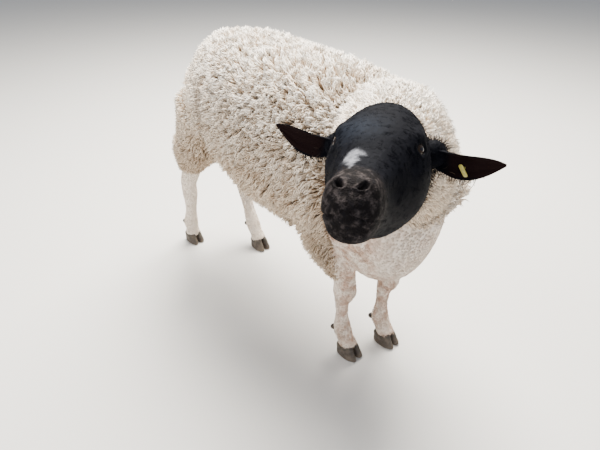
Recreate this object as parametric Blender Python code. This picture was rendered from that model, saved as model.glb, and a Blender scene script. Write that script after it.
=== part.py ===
"""A standing sheep with a long fleece and a black head, turned to look towards its right.

Metres, +Z up. The sheep faces -Y, its left side is +X, and its hooves stand on z = 0.
The body's rings and the leg's stations give the flesh. Rounded clumps of wool are set on it and fused.
"""

import math
from dataclasses import dataclass

import bmesh
import bpy
import numpy as np
from mathutils import Matrix, Vector

SEED = 26
GAP = 0.0003
FAR = 3.0

# The middle of the box round the whole sheep, which becomes the origin.
MIDDLE = Vector((-0.1300, -0.1026, 0.0))

# Fleece: how far the core and the clumps' tops stand off the flesh, and the clumps' sizes.
CORE_LIFT = 0.016
CLUMP_HEIGHT = 0.030
CLUMP_SINK = 0.020
CLUMP_SIDES = 6
TORSO_CLUMPS = 98
NECK_CLUMPS = 28
LEG_CLUMPS = {"front": 6, "hind": 7}
TAIL_CLUMPS = 8

# Width and height of the clumps on the parts whose fleece is shorter.
NECK_CLUMP = (0.074, 0.026)
LEG_CLUMP = {"front": (0.062, 0.022), "hind": (0.070, 0.022)}
TAIL_CLUMP = (0.050, 0.012)

# Cuts between the nodes. A leg's room is given as |x| from and to, y from and to, and its top.
NECK_BASE = Vector((-0.030, -0.330, 0.605))
NECK_BASE_FACING = Vector((-0.30, -0.62, 0.72)).normalized()
LEG_ROOM = {"front": (0.030, 0.30, -0.375, -0.150, 0.300), "hind": (0.020, 0.30, 0.115, 0.60, 0.370)}
HOOF_TOP = 0.030

# How far above the knee or hock the wool of a leg starts, and the dewclaws behind each fetlock.
LEG_HEM = {"front": 0.045, "hind": 0.035}
DEWCLAW_PLACE = Vector((0.0125, 0.0215, -0.004))
DEWCLAW_RADII = (0.0052, 0.0068, 0.0085)
TAIL_BASE = Vector((0.0, 0.366, 0.520))
TAIL_FACING = Vector((0.0, 0.96, 0.28)).normalized()
TAIL_ROOM = Vector((0.084, 0.200, 0.300))

# Head: the place of the joint behind the skull, and how the head is turned.
HEAD_PLACE = Vector((-0.2365, -0.4909, 0.6626))
HEAD_YAW = math.radians(-60.1)
HEAD_PITCH = math.radians(22.8)
HEAD_ROLL = math.radians(1.9)
HEAD_CUT = 0.004

# Eyes, in the head's frame, for the left side.
EYE_RADIUS = 0.0120
EYE_PLACE = Vector((0.0412, -0.0940, 0.0362))
EYE_FACING = Vector((0.86, -0.40, 0.24)).normalized()
LID_THICKNESS = 0.0030
EYE_OPENING = (0.0230, 0.0145)
LID_SIDES = (16, 10)

# Ears, in the head's frame, for the left side.
EAR_ROOT = Vector((0.0675, -0.022, 0.032))
EAR_AXES = {1: Vector((0.980, -0.19, -0.055)).normalized(), -1: Vector((-0.965, -0.05, 0.22)).normalized()}
EAR_OPEN = Vector((0.0, -0.86, -0.45)).normalized()
EAR_LENGTH = 0.086
EAR_WIDTH = 0.047
EAR_BOW = 0.010
EAR_THICKNESS = 0.0032
EAR_ROOT_RADII = (0.0185, 0.0185, 0.017)

# How an ear is rolled: half its angle at the tip, and what is added to that at the root.
EAR_BEND = (0.50, 1.20)
EAR_TIP_WIDTH = 0.003

# Nose and mouth, in the head's frame.
NOSTRIL_PLACE = Vector((0.0130, -0.2490, 0.0065))
NOSTRIL_RADII = (0.0036, 0.012, 0.0070)
NOSTRIL_SLANT = 0.95
NOSTRIL_TILT = -0.35
MOUTH_HEIGHT = -0.0240
MOUTH_SLOPE = 0.010
MOUTH_BACK = 0.178
MOUTH_DEPTH = 0.0050
MOUTH_GAPE = 0.0015

# Ear tag: its size, how far along, down and ahead of the ear it hangs, its turns, and its pin's radius.
TAG_SIZE = Vector((0.0066, 0.0185, 0.0018))
TAG_ALONG = 0.0375
TAG_DOWN = 0.0110
TAG_AHEAD = 0.0105
TAG_LEAN = -0.50
TAG_TWIST = 0.45
TAG_PIN = 0.0013


@dataclass(frozen=True)
class Ring:
    """A cross-section: how far along it is, its middle height, half width, rise, drop and squareness."""

    along: float
    middle: float
    half: float
    rise: float
    drop: float
    crown: float = 2.2
    base: float = 2.1


@dataclass(frozen=True)
class Form:
    """A soft rise or hollow on the head: its place on the left side, how far it spreads, and its height."""

    place: tuple
    spread: tuple
    lift: float


TORSO = (
    Ring(-0.440, 0.430, 0.040, 0.050, 0.050, 2.0, 2.0),
    Ring(-0.422, 0.432, 0.085, 0.105, 0.108, 2.1, 2.0),
    Ring(-0.378, 0.442, 0.118, 0.150, 0.165, 2.1, 2.0),
    Ring(-0.300, 0.468, 0.132, 0.172, 0.202, 2.1, 1.9),
    Ring(-0.220, 0.485, 0.136, 0.177, 0.180, 2.1, 1.7),
    Ring(-0.120, 0.490, 0.142, 0.179, 0.140, 2.2, 1.8),
    Ring(0.000, 0.492, 0.145, 0.181, 0.125, 2.2, 1.9),
    Ring(0.070, 0.495, 0.140, 0.182, 0.098, 2.2, 1.8),
    Ring(0.130, 0.496, 0.131, 0.182, 0.060, 2.1, 1.8),
    Ring(0.180, 0.490, 0.118, 0.184, 0.034, 2.0, 1.9),
    Ring(0.230, 0.475, 0.094, 0.183, 0.036, 1.85, 2.0),
    Ring(0.270, 0.465, 0.073, 0.157, 0.055, 1.75, 2.0),
    Ring(0.305, 0.455, 0.051, 0.117, 0.070, 1.75, 2.0),
    Ring(0.330, 0.450, 0.031, 0.073, 0.060, 1.8, 2.0),
    Ring(0.343, 0.452, 0.017, 0.036, 0.030, 2.0, 2.0),
)

HEAD = (
    Ring(-0.030, 0.005, 0.0504, 0.0611, 0.0588, 2.1, 2.0),
    Ring(0.010, 0.008, 0.0576, 0.0824, 0.0890, 2.1, 1.9),
    Ring(0.050, 0.008, 0.0637, 0.0812, 0.0907, 2.1, 1.8),
    Ring(0.095, 0.006, 0.0594, 0.0692, 0.0810, 2.2, 1.8),
    Ring(0.130, 0.000, 0.0481, 0.0563, 0.0672, 2.2, 1.8),
    Ring(0.165, -0.008, 0.0368, 0.0401, 0.0515, 2.2, 1.9),
    Ring(0.200, -0.011, 0.0305, 0.0320, 0.0430, 2.2, 2.1),
    Ring(0.228, -0.012, 0.0288, 0.0280, 0.0385, 2.3, 2.2),
    Ring(0.247, -0.013, 0.0230, 0.0200, 0.0293, 2.2, 2.2),
    Ring(0.257, -0.014, 0.0117, 0.0090, 0.0131, 2.0, 2.0),
)

HEAD_FORMS = {
    "brow": Form((0.050, -0.094, 0.056), (0.016, 0.026, 0.012), 0.005),
    "cheek": Form((0.052, -0.060, -0.028), (0.028, 0.040, 0.034), 0.004),
    "upper lip": Form((0.026, -0.230, -0.014), (0.014, 0.024, 0.014), 0.0025),
    "nostril wing": Form((0.020, -0.244, 0.008), (0.010, 0.012, 0.010), 0.0025),
    "chin": Form((0.000, -0.232, -0.050), (0.022, 0.018, 0.012), 0.0030),
}

# The neck's middle line from the shoulders to the skull, with its half width and half height.
NECK = (
    ((0.015, -0.190, 0.500), 0.105, 0.140),
    ((-0.002, -0.290, 0.526), 0.094, 0.128),
    ((-0.052, -0.372, 0.572), 0.080, 0.106),
    ((-0.136, -0.436, 0.622), 0.062, 0.086),
    ((-0.2365, -0.4909, 0.6680), 0.051, 0.068),
    ((-0.2810, -0.5143, 0.6800), 0.046, 0.062),
)

# The tail's middle line, with its half width and half depth.
TAIL = (
    ((0.0, 0.340, 0.583), (0.024, 0.022)),
    ((0.0, 0.369, 0.553), (0.025, 0.024)),
    ((0.0, 0.391, 0.495), (0.022, 0.020)),
    ((0.0, 0.393, 0.435), (0.010, 0.008)),
)

# The middle line of each leg from inside the body down to the top of its hoof.
LEG_LINES = {
    "front_right": (
        (-0.082, -0.225, 0.430),
        (-0.076, -0.250, 0.350),
        (-0.067, -0.272, 0.285),
        (-0.060, -0.280, 0.240),
        (-0.056, -0.280, 0.200),
        (-0.054, -0.272, 0.165),
        (-0.052, -0.272, 0.120),
        (-0.051, -0.276, 0.074),
        (-0.050, -0.288, 0.048),
        (-0.049, -0.295, 0.028),
    ),
    "front_left": (
        (0.084, -0.240, 0.430),
        (0.080, -0.275, 0.350),
        (0.070, -0.303, 0.285),
        (0.064, -0.316, 0.240),
        (0.056, -0.320, 0.200),
        (0.053, -0.313, 0.165),
        (0.051, -0.312, 0.120),
        (0.049, -0.314, 0.074),
        (0.053, -0.324, 0.048),
        (0.053, -0.331, 0.028),
    ),
    "hind_right": (
        (-0.078, 0.212, 0.510),
        (-0.082, 0.240, 0.440),
        (-0.085, 0.292, 0.365),
        (-0.084, 0.320, 0.300),
        (-0.084, 0.345, 0.250),
        (-0.078, 0.358, 0.205),
        (-0.073, 0.374, 0.135),
        (-0.070, 0.392, 0.076),
        (-0.068, 0.392, 0.050),
        (-0.067, 0.396, 0.028),
    ),
    "hind_left": (
        (0.080, 0.200, 0.510),
        (0.092, 0.215, 0.440),
        (0.098, 0.240, 0.365),
        (0.094, 0.262, 0.300),
        (0.084, 0.283, 0.250),
        (0.079, 0.290, 0.205),
        (0.075, 0.268, 0.135),
        (0.073, 0.244, 0.076),
        (0.072, 0.228, 0.050),
        (0.072, 0.217, 0.028),
    ),
}

# Half width across and half depth along the sheep at each place of a leg's middle line.
LEG_SIZES = {
    "front": (
        (0.040, 0.062),
        (0.036, 0.050),
        (0.030, 0.036),
        (0.0235, 0.026),
        (0.0255, 0.027),
        (0.0168, 0.0180),
        (0.0138, 0.0150),
        (0.0210, 0.0215),
        (0.0190, 0.0200),
        (0.0235, 0.0260),
    ),
    "hind": (
        (0.046, 0.085),
        (0.044, 0.064),
        (0.033, 0.041),
        (0.0235, 0.030),
        (0.0195, 0.0270),
        (0.0195, 0.0275),
        (0.0155, 0.0180),
        (0.0210, 0.0220),
        (0.0185, 0.0200),
        (0.0230, 0.0255),
    ),
}

# Colours, from the coat, skin, horn and tag as they look in daylight.
CREAM = (0.62, 0.53, 0.42)
WHITE = (0.74, 0.68, 0.60)
BLACK = (0.018, 0.018, 0.024)
EAR_BROWN = (0.035, 0.022, 0.020)
EYE_DARK = (0.030, 0.018, 0.010)
HORN = (0.050, 0.042, 0.036)
YELLOW = (0.66, 0.60, 0.10)


def material(name, colour, roughness=0.85, metallic=0.0):
    """A plain material with this base colour."""
    made = bpy.data.materials.new(name)
    made.use_nodes = True
    shader = made.node_tree.nodes["Principled BSDF"]
    shader.inputs["Base Color"].default_value = (*colour, 1.0)
    shader.inputs["Roughness"].default_value = roughness
    shader.inputs["Metallic"].default_value = metallic
    made.diffuse_color = (*colour, 1.0)
    return made


def add_object(name, points, faces, finish=None):
    """A mesh object from points and faces, with its faces turned outwards."""
    mesh = bpy.data.meshes.new(name)
    mesh.from_pydata([tuple(p) for p in points], [], faces)
    shape = bmesh.new()
    shape.from_mesh(mesh)
    bmesh.ops.recalc_face_normals(shape, faces=shape.faces)
    shape.to_mesh(mesh)
    shape.free()
    made = bpy.data.objects.new(name, mesh)
    bpy.context.scene.collection.objects.link(made)
    if finish:
        mesh.materials.append(finish)
    return made


def loft(name, rings, finish=None, first_pole=None, last_pole=None):
    """A closed skin over rings of equal count. An end without a pole is closed flat at its middle."""
    count = len(rings[0])
    points = [Vector(p) for ring in rings for p in ring]
    faces = []
    for i in range(len(rings) - 1):
        for j in range(count):
            k = (j + 1) % count
            low, high = i * count, (i + 1) * count
            faces.append((low + j, low + k, high + k, high + j))
    for ring, pole, start in ((rings[0], first_pole, 0), (rings[-1], last_pole, len(points) - count)):
        tip = pole if pole is not None else sum((Vector(p) for p in ring), Vector()) / count
        points.append(tip)
        for j in range(count):
            faces.append((start + j, start + (j + 1) % count, len(points) - 1))
    return add_object(name, points, faces, finish)


def spline(keys, values, at):
    """Smooth values at the places `at`, through `values` at the rising places `keys`."""
    keys, values = np.asarray(keys, float), np.asarray(values, float)
    slopes = np.gradient(values, keys, axis=0)
    i = np.clip(np.searchsorted(keys, at, side="right") - 1, 0, len(keys) - 2)
    step = keys[i + 1] - keys[i]
    t = (np.asarray(at) - keys[i]) / step
    if values.ndim > 1:
        t, step = t[:, None], step[:, None]
    return (
        (2 * t**3 - 3 * t**2 + 1) * values[i]
        + (t**3 - 2 * t**2 + t) * step * slopes[i]
        + (3 * t**2 - 2 * t**3) * values[i + 1]
        + (t**3 - t**2) * step * slopes[i + 1]
    )


def ring_values(rings, at):
    """Middle, half width, rise, drop, crown and base squareness of a row of rings at the places `at`."""
    table = [(r.middle, r.half, r.rise, r.drop, r.crown, r.base) for r in rings]
    return spline([r.along for r in rings], table, np.asarray(at, float))


def rounded(angle, half, rise, drop, crown, base):
    """A point on a squared-off oval, across and up from its middle."""
    c, s = math.cos(angle), math.sin(angle)
    height, power = (rise, crown) if s > 0 else (drop, base)
    across = half * math.copysign(abs(c) ** (2 / power), c)
    return across, height * math.copysign(abs(s) ** (2 / power), s)


def modifier_applied(obj, kind, **settings):
    """Adds a modifier, sets it up, and bakes its result into the object's mesh."""
    added = obj.modifiers.new(kind.title(), kind)
    for key, value in settings.items():
        setattr(added, key, value)
    graph = bpy.context.evaluated_depsgraph_get()
    graph.update()
    mesh = bpy.data.meshes.new_from_object(obj.evaluated_get(graph), depsgraph=graph)
    obj.modifiers.remove(added)
    old = obj.data
    obj.data = mesh
    mesh.name = obj.name
    bpy.data.meshes.remove(old)


def remove(*objects):
    """Takes helper objects out of the file."""
    for obj in objects:
        bpy.data.objects.remove(obj, do_unlink=True)


def cut(obj, cutter):
    """Takes the cutter's space out of the object, and removes the cutter."""
    modifier_applied(obj, "BOOLEAN", operation="DIFFERENCE", solver="MANIFOLD", object=cutter)
    remove(cutter)


def keep_within(obj, cutter):
    """Keeps only what lies inside the cutter, and removes the cutter."""
    modifier_applied(obj, "BOOLEAN", operation="INTERSECT", solver="MANIFOLD", object=cutter)
    remove(cutter)


def fuse(obj, pieces):
    """Joins closed pieces to the object in one union, and removes them."""
    if not pieces:
        return
    group = bpy.data.collections.new(obj.name + " pieces")
    for piece in pieces:
        bpy.context.scene.collection.objects.unlink(piece)
        group.objects.link(piece)
    bpy.context.scene.collection.children.link(group)
    modifier_applied(
        obj, "BOOLEAN", operation="UNION", solver="MANIFOLD", operand_type="COLLECTION", collection=group
    )
    remove(*pieces)
    bpy.data.collections.remove(group)


def keep_largest(obj):
    """Keeps the largest closed surface of a mesh, and drops sealed hollows and loose scraps."""
    shape = bmesh.new()
    shape.from_mesh(obj.data)
    left, groups = set(shape.faces), []
    while left:
        todo, found = [left.pop()], []
        while todo:
            face = todo.pop()
            found.append(face)
            for edge in face.edges:
                for other in edge.link_faces:
                    if other in left:
                        left.remove(other)
                        todo.append(other)
        groups.append(found)
    groups.sort(key=len, reverse=True)
    extra = [face for group in groups[1:] for face in group]
    bmesh.ops.delete(shape, geom=extra, context="FACES")
    shape.to_mesh(obj.data)
    shape.free()


def block(centre, size, turn=None):
    """A box as a cutter, turned by a rotation matrix if one is given."""
    shape = bmesh.new()
    bmesh.ops.create_cube(shape, size=1.0)
    matrix = Matrix.Translation(centre) @ (turn or Matrix.Identity(4)) @ Matrix.Diagonal((*size, 1.0))
    bmesh.ops.transform(shape, matrix=matrix, verts=shape.verts)
    mesh = bpy.data.meshes.new("block")
    shape.to_mesh(mesh)
    shape.free()
    made = bpy.data.objects.new("block", mesh)
    bpy.context.scene.collection.objects.link(made)
    made.hide_render = True
    made.display_type = "WIRE"
    return made


def beyond(point, facing, gap=0.0):
    """A cutter that fills everything on the side of a plane that it faces, from `gap` past the plane."""
    turn = facing.to_track_quat("Z", "Y").to_matrix().to_4x4()
    return block(point + facing * (gap + FAR / 2), (FAR, FAR, FAR), turn)


def box_between(low, high):
    """A cutter from its lowest to its highest corner."""
    low, high = Vector(low), Vector(high)
    return block((low + high) / 2, high - low)


def oval(name, centre, radii, turn=None, around=10, tall=6):
    """A closed, stretched ball."""
    shape = bmesh.new()
    matrix = Matrix.Translation(centre) @ (turn or Matrix.Identity(4)) @ Matrix.Diagonal((*radii, 1.0))
    bmesh.ops.create_uvsphere(shape, u_segments=around, v_segments=tall, radius=1.0, matrix=matrix)
    mesh = bpy.data.meshes.new(name)
    shape.to_mesh(mesh)
    shape.free()
    made = bpy.data.objects.new(name, mesh)
    bpy.context.scene.collection.objects.link(made)
    return made


def smoothstep(low, high, value):
    """0 below `low`, 1 above `high`, and a soft rise between."""
    t = min(max((value - low) / (high - low), 0.0), 1.0)
    return t * t * (3 - 2 * t)


def wool_share(point):
    """How much of the full fleece grows at a place on the torso or neck, from 0 to 1."""
    chest = smoothstep(-0.255, -0.290, point.y) * smoothstep(0.485, 0.435, point.z)
    chest *= smoothstep(-0.165, -0.140, point.x) * smoothstep(0.160, 0.130, point.x)
    return 1.0 - chest


def swell(obj, share):
    """Lifts each vertex along its normal by the core's depth, times the share of fleece there."""
    shape = bmesh.new()
    shape.from_mesh(obj.data)
    shape.normal_update()
    lifts = [(v, v.normal.copy() * CORE_LIFT * share(v.co)) for v in shape.verts]
    for vert, lift in lifts:
        vert.co += lift
    shape.to_mesh(obj.data)
    shape.free()


def spread_points(obj, count, wanted, random):
    """Evenly spread places on a mesh with their normals, each as far from the others as can be."""
    mesh = obj.data
    mesh.calc_loop_triangles()
    corners = np.array([[mesh.vertices[i].co for i in t.vertices] for t in mesh.loop_triangles])
    normals = np.cross(corners[:, 1] - corners[:, 0], corners[:, 2] - corners[:, 0])
    areas = np.linalg.norm(normals, axis=1) / 2
    normals /= 2 * areas[:, None] + 1e-12
    pick = random.choice(len(areas), size=50 * count, p=areas / areas.sum())
    u, v = random.random((2, len(pick)))
    flip = u + v > 1
    u[flip], v[flip] = 1 - u[flip], 1 - v[flip]
    a, b, c = corners[pick].transpose(1, 0, 2)
    places = a + u[:, None] * (b - a) + v[:, None] * (c - a)
    keep = np.array([wanted(Vector(p), Vector(n)) for p, n in zip(places, normals[pick])])
    places, facings = places[keep], normals[pick][keep]
    chosen = [0]
    nearest = np.linalg.norm(places - places[0], axis=1)
    while len(chosen) < count:
        chosen.append(int(nearest.argmax()))
        nearest = np.minimum(nearest, np.linalg.norm(places - places[chosen[-1]], axis=1))
    return [(Vector(places[i]), Vector(facings[i])) for i in chosen]


def clump(place, facing, lie, width, height, random):
    """A rounded clump of wool, its root sunk below its place and its top leaning along the coat's lie."""
    lie = (lie - facing * lie.dot(facing)).normalized()
    side = facing.cross(lie)
    turn = random.uniform(0.0, math.tau)
    lean = lie * width * random.uniform(0.10, 0.28)
    rings = []
    for share, reach, along in ((0.22, 0.54, 0.0), (0.82, 0.36, 0.7)):
        ring = []
        for i in range(CLUMP_SIDES):
            angle = turn + math.tau * i / CLUMP_SIDES
            out = width * reach * random.uniform(0.88, 1.12)
            flat = side * math.cos(angle) * out + lie * math.sin(angle) * out
            ring.append(place + facing * height * share + flat + lean * along)
        rings.append(ring)
    root = place - facing * CLUMP_SINK
    top = place + facing * height + lean
    return loft("clump", rings, None, first_pole=root, last_pole=top)


def coat_lie(place, facing):
    """Which way the fleece hangs: back along the top, down on the sides and below."""
    down = smoothstep(0.25, 0.85, abs(facing.x)) + smoothstep(0.0, -0.5, facing.z)
    down = min(down, 1.0)
    return Vector((0.0, 1.0 - 0.6 * down, -0.05 - 1.1 * down))


def grow(obj, count, wanted, seed, width=None, height=CLUMP_HEIGHT):
    """Covers the object with `count` clumps where `wanted` says so, and fuses them to it."""
    random = np.random.default_rng(seed)
    spots = spread_points(obj, count, wanted, random)
    places = np.array([tuple(place) for place, _ in spots])
    pieces = []
    for i, (place, facing) in enumerate(spots):
        gaps = np.sort(np.linalg.norm(places - places[i], axis=1))
        spacing = width or float(gaps[1:5].mean())
        size = spacing * random.uniform(1.02, 1.22)
        tall = height * random.uniform(0.80, 1.15)
        pieces.append(clump(place, facing, coat_lie(place, facing), size, tall, random))
    fuse(obj, pieces)


def torso_core():
    """The barrel, chest and rump, with the depth of the fleece's core put on."""
    along = np.linspace(TORSO[0].along, TORSO[-1].along, 19)
    rings = []
    for y, (middle, *rest) in zip(along, ring_values(TORSO, along)):
        outline = [rounded(math.tau * i / 18, *rest) for i in range(18)]
        rings.append([Vector((across, y, middle + up)) for across, up in outline])
    front = Vector((0, TORSO[0].along - 0.008, TORSO[0].middle))
    back = Vector((0, TORSO[-1].along + 0.008, TORSO[-1].middle))
    made = loft("torso", rings, None, front, back)
    swell(made, wool_share)
    return made


def tube(name, places, sizes, count, sides, side_hint, crown=2.0):
    """A closed limb along a smooth line, its oval sections square to the line."""
    keys = np.arange(len(places))
    at = np.linspace(0, len(places) - 1, count)
    line = [Vector(p) for p in spline(keys, places, at)]
    rings = []
    for i, (place, (half, other)) in enumerate(zip(line, spline(keys, sizes, at))):
        ahead = (line[min(i + 1, count - 1)] - line[max(i - 1, 0)]).normalized()
        up = side_hint.cross(ahead).normalized()
        side = ahead.cross(up)
        outline = [rounded(math.tau * j / sides, half, other, other, crown, crown) for j in range(sides)]
        rings.append([place + side * x + up * z for x, z in outline])
    return loft(name, rings)


def neck_core():
    """The neck, bent from the shoulders round to the back of the skull."""
    places = [place for place, _, _ in NECK]
    sizes = [(half, tall) for _, half, tall in NECK]
    made = tube("neck", places, sizes, 12, 18, Vector((0.80, -0.60, 0.0)), 2.15)
    swell(made, wool_share)
    return made


def leg_kind(name):
    """Front or hind, from a leg's name."""
    return name.split("_")[0]


def leg_core(name, sides=12, count=23):
    """A leg from inside the body to its hoof, as one tapering form."""
    return tube("leg_" + name, LEG_LINES[name], LEG_SIZES[leg_kind(name)], count, sides, Vector((1, 0, 0)))


def leg_room(name, inset=0.0):
    """The box that belongs to a leg, shrunk by `inset` on the sides that face the body."""
    near, far, front, back, top = LEG_ROOM[leg_kind(name)]
    low = Vector((near + inset, front + inset, -1.0))
    high = Vector((far, back - inset, top - inset))
    if name.endswith("right"):
        low.x, high.x = -high.x, -low.x
    return box_between(low, high)


def make_leg(name):
    """A leg with the wool of its upper part, cut clear of the body above it and the hoof below it."""
    made = leg_core(name)
    kind = leg_kind(name)
    line = LEG_LINES[name]
    low = line[4][2] + LEG_HEM[kind]
    grow(made, LEG_CLUMPS[kind], lambda place, facing: place.z > low, SEED + len(name), *LEG_CLUMP[kind])
    claws = []
    for side in (-1, 1):
        place = Vector(line[7]) + mirrored(DEWCLAW_PLACE, side)
        claws.append(oval("dewclaw", place, DEWCLAW_RADII, None, 8, 6))
    fuse(made, claws)
    keep_within(made, leg_room(name, GAP))
    cut(made, box_between((-1, -1, -1), (1, 1, HOOF_TOP)))
    return made


def make_hoof(name, finish):
    """A cloven hoof: flat on the ground, sloping at the toe, and split from the front."""
    x, y, _ = LEG_LINES[name][-1]
    kind = leg_kind(name)
    half, deep = LEG_SIZES[kind][-1]
    levels = (
        (0.0, half * 1.02, deep * 1.18, -0.008),
        (0.003, half * 1.06, deep * 1.22, -0.008),
        (0.018, half * 1.02, deep * 1.12, -0.004),
        (HOOF_TOP - GAP, half * 0.96, deep * 1.00, 0.0),
    )
    rings = []
    for z, wide, long, shift in levels:
        outline = [rounded(math.tau * i / 20, wide, long, long * 0.86, 1.8, 2.8) for i in range(20)]
        rings.append([Vector((x + across, y + shift - up, z)) for across, up in outline])
    made = loft("hoof_" + name, rings, finish)
    toe = y + levels[0][3] - levels[0][2]
    split = [
        (Vector((x, toe - 0.010, z)), Vector((0.0060, 0, 0)), Vector((x, toe + 0.046, z)))
        for z in (-0.01, 0.05)
    ]
    points = [p for front, out, tip in split for p in (front - out, front + out, tip)]
    cut(made, add_object("split", points, [(0, 1, 2), (3, 5, 4), (0, 3, 4, 1), (1, 4, 5, 2), (2, 5, 3, 0)]))
    return made


def head_matrix():
    """From the head's own frame, forward -Y and up +Z, to the sheep's."""
    turn = Matrix.Rotation(HEAD_YAW, 4, "Z") @ Matrix.Rotation(-HEAD_PITCH, 4, "X")
    return Matrix.Translation(HEAD_PLACE) @ turn @ Matrix.Rotation(-HEAD_ROLL, 4, "Y")


def mirrored(point, side):
    """The place on the left side, or its match on the right for side -1."""
    return Vector((point.x * side, point.y, point.z))


def head_point(values, s, angle):
    """A point on the head at a distance s ahead of its joint, with the soft forms added."""
    middle, *rest = values
    across, up = rounded(angle, *rest)
    point = Vector((across, -s, middle + up))
    out = Vector((across / max(rest[0], 1e-4), -0.25, up / max(rest[1], 1e-4))).normalized()
    for form in HEAD_FORMS.values():
        away = Vector((abs(point.x), point.y, point.z)) - Vector(form.place)
        far = sum((away[k] / form.spread[k]) ** 2 for k in range(3))
        point = point + out * form.lift * math.exp(-far)
    return point


def head_core(sides=24, count=22):
    """The head from its joint to the nose, before the lids, nostrils and mouth are cut."""
    share = np.linspace(0.0, 1.0, count)
    first, last = HEAD[0].along, HEAD[-1].along
    along = first + (last - first) * (1 - (1 - share) ** 1.4)
    rings = []
    for s, values in zip(along, ring_values(HEAD, along)):
        rings.append([head_point(values, s, math.tau * i / sides) for i in range(sides)])
    nose = Vector((0, -last - 0.003, HEAD[-1].middle))
    return loft("head", rings, None, None, nose)


def eye_turn(side):
    """The rotation that turns +Z to where an eye looks, with +X along its opening."""
    facing = mirrored(EYE_FACING, side)
    along = Vector((0, -1, 0.12))
    along = (along - facing * along.dot(facing)).normalized()
    up = facing.cross(along)
    return Matrix((along, up, facing)).transposed().to_4x4()


def eye_opening(side):
    """The almond-shaped cutter between an eye's lids, from the middle of the eye outwards."""
    length, height = EYE_OPENING
    rings = []
    for out, grow_by in ((0.0, 0.55), (EYE_RADIUS * 0.7, 0.9), (0.030, 1.35)):
        ring = []
        for i in range(12):
            x, y = rounded(math.tau * i / 12, length / 2, height / 2, height / 2, 1.45, 1.45)
            ring.append(Vector((x * grow_by, y * grow_by, out)))
        rings.append(ring)
    made = loft("opening", rings)
    made.data.transform(Matrix.Translation(mirrored(EYE_PLACE, side)) @ eye_turn(side))
    return made


def mouth_cutter():
    """The groove between the lips, following the muzzle from one corner of the mouth to the other."""
    first, last = MOUTH_BACK, HEAD[-1].along - 0.004
    steps = [first + (last - first) * math.sin(math.pi / 2 * i / 8) for i in range(9)]
    path = []
    for s in steps:
        middle, half, _, drop, _, base = ring_values(HEAD, [s])[0]
        height = MOUTH_HEIGHT - MOUTH_SLOPE * smoothstep(last, first, s)
        share = min(max((middle - height) / drop, 0.0), 0.98)
        path.append(Vector((half * (1 - share**base) ** (1 / base), -s, height)))
    path = path + [mirrored(p, -1) for p in reversed(path)]
    rings = []
    for i, place in enumerate(path):
        ahead = (path[min(i + 1, len(path) - 1)] - path[max(i - 1, 0)]).normalized()
        out = ahead.cross(Vector((0, 0, -1))).normalized()
        lips = Vector((0, 0, MOUTH_GAPE))
        rings.append([place - out * MOUTH_DEPTH, place + out * 0.006 + lips, place + out * 0.006 - lips])
    return loft("mouth", rings)


def ear_profile(t):
    """An ear's width round its roll, and half the angle of that roll, at a share of its length."""
    width = EAR_WIDTH * (0.80 + 0.55 * t) * (1 - t**2) + EAR_TIP_WIDTH
    return width, EAR_BEND[0] + EAR_BEND[1] * (1 - t) ** 1.5


def ear_shell(side, sides=8, count=9):
    """A leaf-shaped cup, rolled at its root and opening towards its tip."""
    axis, front = EAR_AXES[side], mirrored(EAR_OPEN, side)
    front = (front - axis * front.dot(axis)).normalized()
    across = axis.cross(front)
    root = mirrored(EAR_ROOT, side)
    rings = []
    for i in range(count):
        t = i / (count - 1)
        wide, bend = ear_profile(t)
        radius = wide / (2 * bend)
        place = root + axis * EAR_LENGTH * t + across * side * EAR_BOW * math.sin(math.pi * t)
        inner, outer = [], []
        for j in range(sides + 1):
            a = (2 * j / sides - 1) * bend
            thick = EAR_THICKNESS * (0.45 + 0.55 * math.cos((2 * j / sides - 1) * math.pi / 2))
            for row, r in ((inner, radius - thick / 2), (outer, radius + thick / 2)):
                row.append(place + across * r * math.sin(a) + front * (radius * 0.8 - r * math.cos(a)))
        rings.append(outer + inner[::-1])
    return loft("ear", rings)


def ear_floor(t, down):
    """How far out of an ear's cup its inner face lies, at a share of its length and a way down."""
    wide, bend = ear_profile(t)
    radius = wide / (2 * bend)
    angle = math.asin(min((down - EAR_BOW * math.sin(math.pi * t)) / radius, 0.99))
    return radius * 0.8 - (radius - EAR_THICKNESS / 2) * math.cos(angle)


def ear_root(side):
    """The thick base of an ear, which the head and the ear share."""
    axis = EAR_AXES[side].to_track_quat("Z", "Y").to_matrix().to_4x4()
    place = mirrored(EAR_ROOT, side) - EAR_AXES[side] * 0.004
    return oval("root", place, EAR_ROOT_RADII, axis, 12, 8)


def make_head(finish):
    """The head with its lids, eye sockets, nostrils, mouth line and the roots of its ears."""
    made = head_core()
    fuse(made, [ear_root(side) for side in (1, -1)])
    lids = []
    for side in (1, -1):
        radius = EYE_RADIUS + LID_THICKNESS
        lids.append(oval("lids", mirrored(EYE_PLACE, side), (radius,) * 3, eye_turn(side), *LID_SIDES))
    fuse(made, lids)
    for side in (1, -1):
        radius = EYE_RADIUS + GAP
        cut(made, oval("socket", mirrored(EYE_PLACE, side), (radius,) * 3, eye_turn(side), *LID_SIDES))
        cut(made, eye_opening(side))
        cut(made, beyond(mirrored(EAR_ROOT, side), EAR_AXES[side]))
        turn = Matrix.Rotation(side * NOSTRIL_SLANT, 4, "Y") @ Matrix.Rotation(NOSTRIL_TILT, 4, "X")
        cut(made, oval("nostril", mirrored(NOSTRIL_PLACE, side), NOSTRIL_RADII, turn, 10, 8))
    cut(made, mouth_cutter())
    cut(made, beyond(Vector((0, -HEAD_CUT, 0)), Vector((0, 1, 0))))
    keep_largest(made)
    made.data.transform(head_matrix())
    made.data.materials.append(finish)
    return made


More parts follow.
